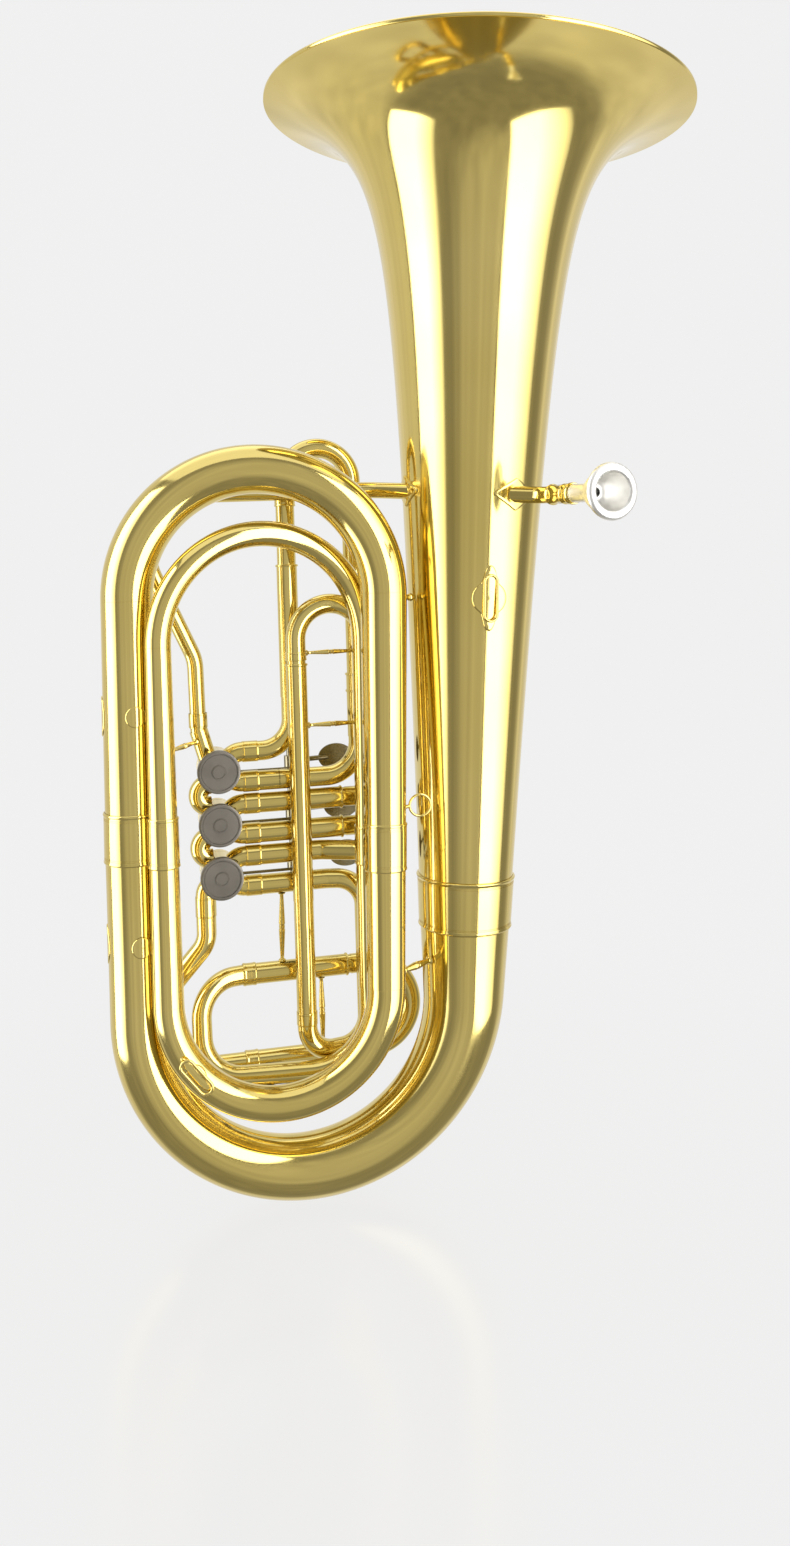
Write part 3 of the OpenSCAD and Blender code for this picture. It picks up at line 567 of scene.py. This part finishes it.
def make_body_tube():
    """The wide tube in order from the bell: bows, branches and their ferrules."""
    down, up = Vector((0, 0, -1)), Vector((0, 0, 1))
    left = (LEFT_FOOT, LEFT_TOP, (LEFT_R, TOP_LEFT_R))
    right = (RIGHT_TOP, RIGHT_FOOT, (RIGHT_R, RIGHT_FOOT_R))
    inner = (INNER_FOOT, INNER_TOP, (INNER_R, INNER_TOP_R))
    third = (THIRD_TOP, THIRD_FOOT, (THIRD_R, THIRD_FOOT_R))
    make_bottom_bow()
    make_branch("left_branch", LEFT_FOOT, LEFT_TOP, (LEFT_R - 0.15, TOP_LEFT_R), sides=96)
    make_ferrule("left_ferrule", *left, (-0.005, 0.19), 0.8)
    make_half_bow("top_bow", LEFT_TOP, RIGHT_TOP, up, (TOP_LEFT_R, RIGHT_R))
    make_branch("right_branch", *right, sides=96)
    make_ferrule("right_ferrule", *right, (0.59, 0.71), 0.6)
    make_half_bow("inner_bottom_bow", RIGHT_FOOT, INNER_FOOT, down, (RIGHT_FOOT_R, INNER_R))
    make_branch("inner_left_branch", *inner)
    make_ferrule("inner_left_ferrule", *inner, (0.385, 0.525), 0.6)
    make_inner_top_bow()
    make_branch("third_branch", *third)
    make_ferrule("third_ferrule", *third, (0.54, 0.65), 0.6)
    make_third_bow()


# Slides and valves -------------------------------------------------------------------------

def port_tube(metal, i, up, to_x):
    """A valve's right-hand tube, which curves out of the casing, with its joining sleeve."""
    z = valve_z(i) + up * PORT
    metal.path([(VALVE_X + 2, VALVE_Y, valve_z(i) + up * 1.5), (VALVE_X + 13.5, VALVE_Y, z),
                (to_x, VALVE_Y, z)], [12], TUBE_R)
    metal.sleeve((VALVE_X + 18, VALVE_Y, z), (VALVE_X + 29, VALVE_Y, z), TUBE_R)


def make_main_slide():
    sleeves = Metal()
    crook = Metal()
    for z in (MAIN_TOP, MAIN_LOW):
        sleeves.pipe((MAIN_SLEEVE_START, MAIN_Y, z), (MAIN_SLEEVE_END, MAIN_Y, z), SLEEVE_R, SLEEVE_WALL)
        sleeves.band((MAIN_BAND_START, MAIN_Y, z), (MAIN_BAND_END, MAIN_Y, z), SLEEVE_R, SLIDE_BAND)
        sleeves.ring((MAIN_SLEEVE_END - RING_IN, MAIN_Y, z), (1, 0, 0), SLEEVE_R)
        crook.pipe((MAIN_LEG_START, MAIN_Y, z), (MAIN_LEG_END, MAIN_Y, z), LEG_R, LEG_WALL)
    bend = (MAIN_TOP - MAIN_LOW) / 2
    far = MAIN_X + bend
    crook.path([(MAIN_LEG_END, MAIN_Y, MAIN_TOP), (far, MAIN_Y, MAIN_TOP), (far, MAIN_Y, MAIN_LOW),
                (MAIN_LEG_END, MAIN_Y, MAIN_LOW)], [bend, bend], TUBE_R)
    sleeves.made("main_slide_sleeves")
    crook.made("main_slide_crook", "main_slide")


def make_valve_outlet_pipe():
    """From the lowest valve down and round to the main slide's lower sleeve."""
    outlet = Metal(meets_casings=True)
    low = valve_z(3) - PORT
    outlet.path([(VALVE_X - 2, VALVE_Y, low + 7), (OUTLET_X, VALVE_Y, low - 0.5), (OUTLET_X, VALVE_Y, 172),
                 (OUTLET_FAR_X, 37, 132), (OUTLET_FAR_X, MAIN_Y, MAIN_LOW), (-36, MAIN_Y, MAIN_LOW)],
                [9, 20, 18, 21], TUBE_R)
    outlet.sleeve((OUTLET_X, VALVE_Y, low - 5), (OUTLET_X, VALVE_Y, low - 19), TUBE_R)
    outlet.made("valve_outlet_pipe")


def make_valve_knuckles():
    """The short half circles on the left, from each valve to the next one down."""
    knuckles = Metal(meets_casings=True)
    bend = VALVE_PITCH / 2 - PORT
    x = VALVE_X - 5.5
    for i in VALVES[:-1]:
        z = valve_z(i) - VALVE_PITCH / 2
        knuckles.path([(x + 1, VALVE_Y, z + bend), (x - bend, VALVE_Y, z + bend),
                       (x - bend, VALVE_Y, z - bend), (x + 1, VALVE_Y, z - bend)], [bend, bend], TUBE_R)
    knuckles.made("valve_knuckles")


def make_slide_1():
    tubes = Metal(meets_casings=True)
    port_tube(tubes, 1, 1, -27)
    port_tube(tubes, 1, -1, -9)
    high, low = valve_z(1) + PORT, valve_z(1) - PORT
    left_top, right_top = 436.7, 357
    for x, start, z, bend, foot, top in ((CURL_LEFT, -28, high, 22, 342, left_top),
                                         (CURL_RIGHT, -10, low, 24, 311, right_top)):
        tubes.path([(start, VALVE_Y, z), (x, VALVE_Y, z), (x, VALVE_Y, foot + JOIN)], [bend], TUBE_R)
        tubes.pipe((x, VALVE_Y, foot), (x, VALVE_Y, top), SLEEVE_R, SLEEVE_WALL)
    for x, z in ((CURL_LEFT, left_top - RING_IN), (CURL_RIGHT, right_top - RING_IN), (CURL_RIGHT, 344)):
        tubes.ring((x, VALVE_Y, z), (0, 0, 1), SLEEVE_R)
    tubes.made("slide_1_tubes")
    curl = Metal()
    curl.crook((CURL_LEFT, VALVE_Y), (CURL_RIGHT, VALVE_Y), CURL_Z, (372, 316), (478, 400))
    curl.made("slide_1_crook", "slide_1")


def make_slide_2():
    tubes = Metal(meets_casings=True)
    loop = Metal()
    for up in (1, -1):
        z = valve_z(2) + up * PORT
        port_tube(tubes, 2, up, LOOP_SLEEVE_START + 0.1)
        tubes.pipe((LOOP_SLEEVE_START, VALVE_Y, z), (LOOP_SLEEVE_END, VALVE_Y, z), SLEEVE_R, SLEEVE_WALL)
        tubes.ring((LOOP_SLEEVE_END - RING_IN, VALVE_Y, z), (1, 0, 0), SLEEVE_R)
        loop.pipe((LOOP_START, VALVE_Y, z), (LOOP_LEG_END, VALVE_Y, z), LEG_R, LEG_WALL)
    high, low = valve_z(2) + PORT, valve_z(2) - PORT
    far = LOOP_X + PORT
    loop.path([(LOOP_LEG_END, VALVE_Y, high), (far, VALVE_Y, high), (far, VALVE_Y, low),
               (LOOP_LEG_END, VALVE_Y, low)], [PORT, PORT], TUBE_R)
    tubes.made("slide_2_tubes")
    loop.made("slide_2_crook", "slide_2")


def make_slide_3():
    tubes = Metal(meets_casings=True)
    high, low = valve_z(3) + PORT, valve_z(3) - PORT
    side_foot, side_top = 262, 345
    front_foot, front_top, front_r = 200, 367, SLEEVE_R - THIN_SLEEVE
    upper_x, lower_x = 10, 14
    port_tube(tubes, 3, 1, upper_x + JOIN)
    tubes.path([(upper_x, VALVE_Y, high), (19, VALVE_Y, high), (SIDE_X, SIDE_Y, high),
                (SIDE_X, SIDE_Y, side_foot + JOIN)], [14, 13.5], TUBE_R)
    tubes.pipe((SIDE_X, SIDE_Y, side_foot), (SIDE_X, SIDE_Y, side_top), SLEEVE_R, SLEEVE_WALL)
    port_tube(tubes, 3, -1, lower_x + JOIN)
    tubes.path([(lower_x, VALVE_Y, low), (23, VALVE_Y, low), (RETURN_X, RETURN_Y, low),
                (RETURN_X, RETURN_Y, RETURN_Z), (FRONT_X, FRONT_Y, RETURN_Z),
                (FRONT_X, FRONT_Y, front_foot + JOIN)], [19, 19, 20, 20], TUBE_R)
    tubes.pipe((FRONT_X, FRONT_Y, front_foot), (FRONT_X, FRONT_Y, front_top), front_r,
               SLEEVE_WALL - THIN_SLEEVE)
    tubes.sleeve((FRONT_X, FRONT_Y, 113), (FRONT_X, FRONT_Y, 122), TUBE_R)
    tubes.ring((FRONT_X, FRONT_Y, front_top - RING_IN), (0, 0, 1), front_r)
    tubes.ring((SIDE_X, SIDE_Y, side_top - RING_IN), (0, 0, 1), SLEEVE_R)
    tubes.made("slide_3_tubes")
    arch = Metal()
    arch.crook((FRONT_X, FRONT_Y), (SIDE_X, SIDE_Y), ARCH_Z, (318, 296), (369, 369))
    a, b = Vector((FRONT_X, FRONT_Y, 374)), Vector((SIDE_X, SIDE_Y, 374))
    arch.rod(mix(a, b, 0.15), mix(a, b, 0.85), 1.1)
    arch.made("slide_3_crook", "slide_3")


def make_valve_casings():
    """Three casings with rounded ends and an engraved line near each."""
    casings = Metal(sides=96)
    half = [(CASING_BORE_R, 0), (CASING_R - 0.3, 0), (CASING_R, 0.3), (CASING_R, 6.4),
            (CASING_R - 0.25, 6.7), (CASING_R, 7)]
    outline = [(radius, CASING_FRONT + depth) for radius, depth in mirrored(half, CASING_BACK - CASING_FRONT)]
    for i in VALVES:
        casings.turned(outline, (VALVE_X, 0, valve_z(i)), (0, 1, 0))
    casings.made("valve_casings")


def make_valve_caps():
    """Three screw caps, each with a raised ring on its hub, a groove round its face and a hollow back."""
    caps = Metal(sides=128)
    hub = [(0.01, 0.5), (3.8, 0.5), (3.95, 0.2), (4.5, 0.2), (4.65, 0.5), (5.0, 0.5), (5.1, 1.0)]
    groove = [(12.2, 1.0), (12.35, 1.35), (12.7, 1.35), (12.85, 0.8)]
    edge = [(CAP_R - 0.8, 0.7), (CAP_R - 0.25, 0.9), (CAP_R, 1.3), (CAP_R, 5.2), (CAP_R - 0.25, 5.6)]
    back = [(CASING_R + SOLDER, 5.6), (CASING_R + SOLDER, 3.5), (0.01, 3.5)]
    for i in VALVES:
        caps.turned(hub + groove + edge + back, (VALVE_X, CAP_FRONT, valve_z(i)), (0, 1, 0))
    caps.made("valve_caps", material=cap_metal)


# Wind inlet --------------------------------------------------------------------------------

def make_leadpipe():
    """From the top valve up behind the top bow, through the bell and round to the receiver."""
    pipe = Metal(meets_casings=True)
    pipe.pipe((-58.5, VALVE_Y, VALVE_TOP + PORT - 6), (-65, VALVE_Y, 322), LEAD_R + 0.8)
    pipe.path([(-65, VALVE_Y, 321), (-66, 31, 372), (-98, 18, 443), (-84, 15.5, 486.5), LEAD_TURN, LEAD_END,
               LEAD_END + MOUTH_AXIS * ELBOW_RUN], [30, 34, 40, 26, 15], LEAD_R)
    pipe.sleeve((-65, VALVE_Y, 324), (-65.2, 31.8, 334), LEAD_R + 0.5)
    pipe.made("leadpipe")


def make_receiver():
    receiver = Metal()
    bore, long = 5.06, RECEIVER_L
    foot = [(bore, 0), (6.4, 0), (7.0, 0.6), (7.1, 1.4), (6.8, 2.1), (6.3, 2.8)]
    bead = [(6.3, long - 11.4), (6.6, long - 11), (6.9, long - 10), (6.6, long - 9), (6.35, long - 8.6)]
    mouth = [(6.5, long - 4), (7.2, long - 3.2), (7.3, long - 2), (7.1, long - 0.6), (6.7, long),
             (bore, long)]
    receiver.turned(foot + bead + mouth, LEAD_END + MOUTH_AXIS * (ELBOW_RUN + 0.1), MOUTH_AXIS)
    receiver.made("receiver")


def make_mouthpiece():
    """Turned from the rim down its outside to the shank, and back up through the bore and the cup."""
    rim, cup, free = MOUTHPIECE_R, CUP_R, MOUTHPIECE_L - SHANK_IN
    face = [(cup + 0.5, 0.9), (cup + 1.6, 0.2), (cup + 2.8, 0), (rim - 1.9, 0.25), (rim - 0.6, 1.2),
            (rim, 2.6), (rim - 0.15, 3.6), (rim - 0.9, 4.5), (rim - 2.4, 5.4), (rim - 3.3, 6.8)]
    bowl = [(14.2, 9.5), (13.3, 13), (11.8, 17), (9.9, 20.8), (8.1, 23.8), (6.9, 26.2), (6.2, 28.6),
            (6.0, 31)]
    shank = [(5.9, free - 4), (6.1, free - 2), (6.3, free - 0.6), (6.25, free), (5, free),
             (5, MOUTHPIECE_L), (4.2, MOUTHPIECE_L)]
    bore = [(3.6, 30), (THROAT_BORE_R, 25)]
    floor_r, points = THROAT_BORE_R + 0.2, 24
    for k in range(points):
        turn = math.pi / 2 * k / (points - 1)
        bore.append((floor_r + (cup - THROAT_BORE_R - 0.2) * math.sin(turn),
                     CUP_EDGE + (CUP_DEEP - CUP_EDGE) * math.cos(turn)))
    mouthpiece = Metal(sides=144)
    mouthpiece.turned(face + bowl + shank + bore, RIM_PLACE, -MOUTH_AXIS)
    mouthpiece.made("mouthpiece", "mouthpiece", silver)


# Fittings ----------------------------------------------------------------------------------

def make_body_braces():
    """The ball spacer on its pin between branch and bell, and two stays."""
    braces = Metal(sides=32)
    pin, bell_side = Vector((75.9, -16.5, 411.5)), Vector((84, -13, 411.5))
    ball_r, points = 2.8, 16
    ball = [(ball_r * math.sin(math.pi * k / points) + 0.01, -ball_r * math.cos(math.pi * k / points))
            for k in range(points + 1)]
    braces.turned(ball, (79.6, -15, 411.5), bell_side - pin)
    braces.turned([(0.01, 0), (1.5, 0), (1.5, 8.3), (0.01, 8.3)], pin, bell_side - pin)
    braces.rod((63.2, -29, 158), (86.2, -13, 158), 1.6)
    braces.rod((-87, -19.5, 316.3), (-67.6, 25.8, 314.5), 1.2)
    braces.made("body_braces")


def make_slide_braces():
    stays = Metal(sides=32)
    stays.rod((FRONT_X + 7.5, FRONT_Y + 0.3, 323), (SIDE_X - 7.6, SIDE_Y - 0.3, 323), 1.2)
    stays.rod((-9.8, VALVE_Y + 0.6, valve_z(3) - PORT - 7.2), (-9.8, MAIN_Y - 0.4, MAIN_TOP + 7.6), 1.4)
    stays.rod((18.2, MAIN_Y, MAIN_TOP - 7.5), (18.2, MAIN_Y, MAIN_LOW + 7.5), 1.4)
    stays.rod((24, 26.9, 88.9), (24, MAIN_Y - 6.5, MAIN_LOW + 3.8), 1.1)
    stays.made("slide_braces")


def shell_plate(metal, outline, surface, thick=1.0):
    """A thin plate laid on a curved surface: outline points (u, v) and surface(u, v, lift)."""
    shares = [0.004, 0.2, 0.4, 0.6, 0.8, 0.92, 0.97, 1.0]
    lifts = [thick] * (len(shares) - 2) + [0.8 * thick, 0.3 * thick]
    rings = [[surface(u * share, v * share, SOLDER) for u, v in outline] for share in shares]
    rings += [[surface(u * share, v * share, SOLDER + lift) for u, v in outline]
              for share, lift in zip(reversed(shares), reversed(lifts))]
    metal.loops(rings)


def diamond(half_wide, half_tall):
    """Outline of a plate with four straight sides."""
    points = []
    for k in range(64):
        a = 2 * math.pi * (k + 0.5) / 64
        reach = 1 / (abs(math.cos(a)) / half_wide + abs(math.sin(a)) / half_tall)
        points.append((reach * math.cos(a), reach * math.sin(a)))
    return points


def four_lobes(half_wide, half_tall, turn=0.0):
    """Outline of a plate with four rounded lobes and hollow shoulders."""
    points = []
    for k in range(96):
        a = 2 * math.pi * k / 96
        pull = (1 + 0.19 * math.cos(4 * a)) / 1.19
        u, v = half_wide * math.cos(a) * pull, half_tall * math.sin(a) * pull
        points.append((u * math.cos(turn) - v * math.sin(turn), u * math.sin(turn) + v * math.cos(turn)))
    return points


def on_bell(angle, height):
    """A surface function round the bell, from a direction in degrees and a height."""
    def surface(u, v, lift):
        z = height + v
        a = math.radians(angle) + u / bell_radius(z)
        r = bell_radius(z) + lift
        return Vector((r * math.cos(a), r * math.sin(a), z))
    return surface


def on_inner_bow(place):
    """A surface function on the front of the inner bottom bow, from a place in the stack's frame."""
    centre = (INNER_FOOT + RIGHT_FOOT) / 2
    across = INNER_FOOT - RIGHT_FOOT
    bend = across.length / 2
    ex, ey = -across.normalized(), Vector((0, 0, -1))
    front = ex.cross(ey)
    front = front if front.y < 0 else -front
    start = place - centre

    def surface(u, v, lift):
        a, b = start.dot(ex) + u, start.dot(ey) - v
        angle = math.atan2(b, a)
        radius = mix(RIGHT_FOOT_R, INNER_R, angle / math.pi) + lift
        off = math.hypot(a, b) - bend
        return centre + a * ex + b * ey + front * math.sqrt(max(0, radius ** 2 - off ** 2))
    return surface


def on_left_branch(angle, height):
    """A surface function round the left branch, from a direction in degrees and a height."""
    def surface(u, v, lift):
        z = height + v
        share = max(0, (z - LEFT_FOOT.z) / (LEFT_TOP.z - LEFT_FOOT.z))
        r = mix(LEFT_R, TOP_LEFT_R, share) + lift
        a = math.radians(angle) + u / r
        centre = mix(LEFT_FOOT, LEFT_TOP, share)
        return Vector((centre.x + r * math.cos(a), centre.y + r * math.sin(a), z))
    return surface


def make_bell_flanges():
    """Diamond plates where the leadpipe goes into the bell and comes out again."""
    to_bell = UPRIGHT_BELL.inverted() @ UPRIGHT_STACK
    start = to_bell @ LEAD_TURN
    axis = (to_bell @ LEAD_END - start).normalized()
    first, last, step = -10, 140, 0.25
    plates = Metal(UPRIGHT_BELL)
    was_inside = False
    for k in range(int((last - first) / step)):
        place = start + axis * (first + step * k)
        inside = math.hypot(place.x, place.y) < bell_radius(place.z)
        if inside != was_inside:
            angle = math.degrees(math.atan2(place.y, place.x))
            shell_plate(plates, diamond(19, 11.3), on_bell(angle, place.z))
            was_inside = inside
    plates.made("bell_flanges")


def make_strap_plates():
    to_stack = UPRIGHT_STACK.inverted()
    plate = Metal()
    bell = on_bell(-89, BELL_LOOP.z)
    shell_plate(plate, four_lobes(12.4, 22.4), lambda u, v, lift: to_stack @ UPRIGHT_BELL @ bell(u, v, lift))
    shell_plate(plate, four_lobes(5.6, 15.5, math.radians(38)), on_inner_bow(BOW_LOOP), 0.8)
    plate.made("strap_plates")


def make_branch_plates():
    """Round feet of the braces, and the leaf-shaped guards on the outer side."""
    plates = Metal()
    turns = [2 * math.pi * k / 64 for k in range(64)]
    half_wide, half_tall, thick = 7, 13.5, 0.6
    foot = [(half_wide * math.cos(a), half_wide * math.sin(a)) for a in turns]
    leaf = [(half_wide * math.sin(a) * abs(math.sin(a)) ** 0.4, -half_tall * math.cos(a)) for a in turns]
    for height in (340, 188.6):
        shell_plate(plates, foot, on_left_branch(-78, height), thick)
        shell_plate(plates, leaf, on_left_branch(180, height), thick)
    plates.made("branch_plates")


def finish_cad_nodes():
    """The small fittings keep their CAD shape and take a full material."""
    slots = {s["node"]: s["material_slot"] for s in frame["record"]["subparts"]}
    for name, node in frame["nodes"].items():
        for holder in node.material_slots:
            holder.link = "OBJECT"
            holder.material = FINISH[slots[name]]


# Studio ------------------------------------------------------------------------------------

def set_stops(shades, stops, warmth=(1, 1, 1)):
    """Gives a colour ramp its (position, shade) stops, tinted by warmth."""
    while len(shades.color_ramp.elements) < len(stops):
        shades.color_ramp.elements.new(0.5)
    for element, (position, shade) in zip(shades.color_ramp.elements, stops):
        element.position = position
        element.color = (*(shade * w for w in warmth), 1)


def panel_glow(name, wide, strengths):
    """A glow that changes across a panel's width."""
    material = bpy.data.materials.new(name)
    material.use_nodes = True
    tree = material.node_tree
    tree.nodes.clear()
    place = tree.nodes.new("ShaderNodeTexCoord")
    split = tree.nodes.new("ShaderNodeSeparateXYZ")
    share = tree.nodes.new("ShaderNodeMapRange")
    share.inputs["From Min"].default_value = wide / 2
    share.inputs["From Max"].default_value = -wide / 2
    shades = tree.nodes.new("ShaderNodeValToRGB")
    full = max(strength for _, strength in strengths)
    set_stops(shades, [(position, strength / full) for position, strength in strengths])
    glow = tree.nodes.new("ShaderNodeEmission")
    glow.inputs["Strength"].default_value = full
    out = tree.nodes.new("ShaderNodeOutputMaterial")
    tree.links.new(place.outputs["Object"], split.inputs["Vector"])
    tree.links.new(split.outputs["X"], share.inputs["Value"])
    tree.links.new(share.outputs["Result"], shades.inputs["Fac"])
    tree.links.new(shades.outputs["Color"], glow.inputs["Color"])
    tree.links.new(glow.outputs["Emission"], out.inputs["Surface"])
    return material


def panel(name, angle, distance, size, strengths):
    """A glowing panel that only the metal sees, turned round the object from the camera's side.

    The angle is in degrees, and strengths are (share of the width from the panel's left, brightness),
    as the object sees it.
    """
    wide, tall = size
    height = 0.55
    corners = [(x, y, 0) for x, y in ((-wide / 2, -tall / 2), (wide / 2, -tall / 2),
                                      (wide / 2, tall / 2), (-wide / 2, tall / 2))]
    mesh = bpy.data.meshes.new(name)
    mesh.from_pydata(corners, [], [(0, 1, 2, 3)])
    mesh.materials.append(panel_glow(name, wide, strengths))
    box = bpy.data.objects.new(name, mesh)
    bpy.context.scene.collection.objects.link(box)
    turned = math.radians(angle) - math.radians(CAMERA_TURN)
    box.location = (distance * math.sin(turned), -distance * math.cos(turned), height)
    box.rotation_euler = (math.pi / 2, 0, turned + math.pi)
    box.visible_camera = False
    box.visible_diffuse = False
    box.visible_shadow = False


def pale_paper():
    """Evenly glowing paper, with a gloss round the origin that fades away from it."""
    material = bpy.data.materials.new("pale_paper")
    material.use_nodes = True
    tree = material.node_tree
    shader = tree.nodes["Principled BSDF"]
    shader.inputs["Base Color"].default_value = (0.03, 0.03, 0.03, 1)
    shader.inputs["Roughness"].default_value = 1
    shader.inputs["Specular IOR Level"].default_value = 0
    shader.inputs["Emission Color"].default_value = (1, 1, 1, 1)
    shader.inputs["Emission Strength"].default_value = 0.85
    shine = tree.nodes.new("ShaderNodeBsdfGlossy")
    shine.inputs["Roughness"].default_value = 0.2
    both = tree.nodes.new("ShaderNodeMixShader")
    place = tree.nodes.new("ShaderNodeTexCoord")
    away = tree.nodes.new("ShaderNodeVectorMath")
    away.operation = "LENGTH"
    fade = tree.nodes.new("ShaderNodeMapRange")
    for name, value in {"From Min": 0.2, "From Max": 0.6, "To Min": 0.045, "To Max": 0.0}.items():
        fade.inputs[name].default_value = value
    tree.links.new(place.outputs["Object"], away.inputs[0])
    tree.links.new(away.outputs["Value"], fade.inputs["Value"])
    tree.links.new(fade.outputs["Result"], both.inputs["Fac"])
    tree.links.new(shader.outputs["BSDF"], both.inputs[1])
    tree.links.new(shine.outputs["BSDF"], both.inputs[2])
    tree.links.new(both.outputs["Shader"], tree.nodes["Material Output"].inputs["Surface"])
    return material


def make_floor():
    """A pale sheet that lies flat and curves up behind the object."""
    front, back, bend, top, half_wide = -6.0, 1.6, 1.2, 5.0, 7.0
    profile = [(front, 0.0)]
    profile += [(back + bend * math.sin(a), bend - bend * math.cos(a))
                for a in (math.pi / 48 * k for k in range(25))]
    profile += [(back + bend, top)]
    points = [(x, y, z) for y, z in profile for x in (-half_wide, half_wide)]
    faces = [(2 * i, 2 * i + 1, 2 * i + 3, 2 * i + 2) for i in range(len(profile) - 1)]
    mesh = bpy.data.meshes.new("studio_floor")
    mesh.from_pydata(points, [], faces)
    mesh.shade_smooth()
    mesh.materials.append(pale_paper())
    floor = bpy.data.objects.new("studio_floor", mesh)
    bpy.context.scene.collection.objects.link(floor)
    floor.visible_glossy = False


def make_world():
    """What the metal sees around it: bright behind, dim at the sides, middling in front.

    Where the camera sees it, past the edge of the floor, it is plain.
    """
    world = bpy.data.worlds.new("studio_world")
    world.use_nodes = True
    tree = world.node_tree
    place = tree.nodes.new("ShaderNodeTexCoord")
    split = tree.nodes.new("ShaderNodeSeparateXYZ")
    to_share = tree.nodes.new("ShaderNodeMapRange")
    to_share.inputs["From Min"].default_value = -1
    shades = tree.nodes.new("ShaderNodeValToRGB")
    stops = [(0.0, 0.62), (0.08, 0.56), (0.14, 0.34), (0.5, 0.30), (0.58, 0.38), (0.67, 0.78), (1.0, 0.85)]
    set_stops(shades, stops, warmth=(1, 0.98, 0.94))
    tree.links.new(place.outputs["Generated"], split.inputs["Vector"])
    tree.links.new(split.outputs["Y"], to_share.inputs["Value"])
    tree.links.new(to_share.outputs["Result"], shades.inputs["Fac"])
    streaks = tree.nodes.new("ShaderNodeTexNoise")
    streaks.inputs["Scale"].default_value = 9
    upright = tree.nodes.new("ShaderNodeMapping")
    upright.inputs["Scale"].default_value = (1, 1, 0.04)
    tree.links.new(place.outputs["Generated"], upright.inputs["Vector"])
    tree.links.new(upright.outputs["Vector"], streaks.inputs["Vector"])
    uneven = span(tree, streaks.outputs["Fac"], 0.7, 1.3)
    tree.links.new(uneven, tree.nodes["Background"].inputs["Strength"])
    tree.links.new(shades.outputs["Color"], tree.nodes["Background"].inputs["Color"])
    plain = tree.nodes.new("ShaderNodeBackground")
    plain.inputs["Color"].default_value = (0.85, 0.85, 0.85, 1)
    seen = tree.nodes.new("ShaderNodeLightPath")
    either = tree.nodes.new("ShaderNodeMixShader")
    tree.links.new(seen.outputs["Is Camera Ray"], either.inputs["Fac"])
    tree.links.new(tree.nodes["Background"].outputs["Background"], either.inputs[1])
    tree.links.new(plain.outputs["Background"], either.inputs[2])
    tree.links.new(either.outputs["Shader"], tree.nodes["World Output"].inputs["Surface"])
    bpy.context.scene.world = world


def make_ceiling():
    ceiling = bpy.data.lights.new("ceiling", "AREA")
    ceiling.shape = "SQUARE"
    ceiling.size = 4.0
    ceiling.energy = 14 * math.pi
    above = bpy.data.objects.new("ceiling", ceiling)
    bpy.context.scene.collection.objects.link(above)
    above.location = (0, 0, 3)
    above.visible_camera = False


def make_studio():
    make_floor()
    make_world()
    panel("left_panel", -68, 1.2, (1.15, 2.2),
          [(0.0, 0.04), (0.05, 0.04), (0.08, 4.6), (0.6, 4.8), (1.0, 0.9)])
    panel("right_panel", 60, 1.3, (1.47, 2.2),
          [(0.0, 0.04), (0.04, 0.04), (0.07, 4.8), (0.5, 4.6), (1.0, 0.9)])
    make_ceiling()


def make_camera():
    """Level camera at the player's side, a little to the left, with the frame's middle below its axis."""
    focal_share, raised = 0.80012937, -0.135
    data = bpy.data.cameras.new("camera")
    data.sensor_width = 36
    data.lens = focal_share * data.sensor_width
    data.shift_y = raised
    camera = bpy.data.objects.new("camera", data)
    bpy.context.scene.collection.objects.link(camera)
    camera.location = (-0.1317, -0.8477, 0.4366)
    camera.rotation_euler = (math.pi / 2, 0, -math.radians(CAMERA_TURN))
    bpy.context.scene.camera = camera


make_camera()
make_bell()
make_bell_rim_wire()
make_bell_ferrule()
make_body_tube()
make_main_slide()
make_valve_outlet_pipe()
make_valve_knuckles()
make_slide_1()
make_slide_2()
make_slide_3()
make_valve_casings()
make_valve_caps()
make_leadpipe()
make_receiver()
make_mouthpiece()
make_body_braces()
make_slide_braces()
make_bell_flanges()
make_strap_plates()
make_branch_plates()
finish_cad_nodes()
make_studio()
bpy.context.scene.view_settings.view_transform = "Standard"
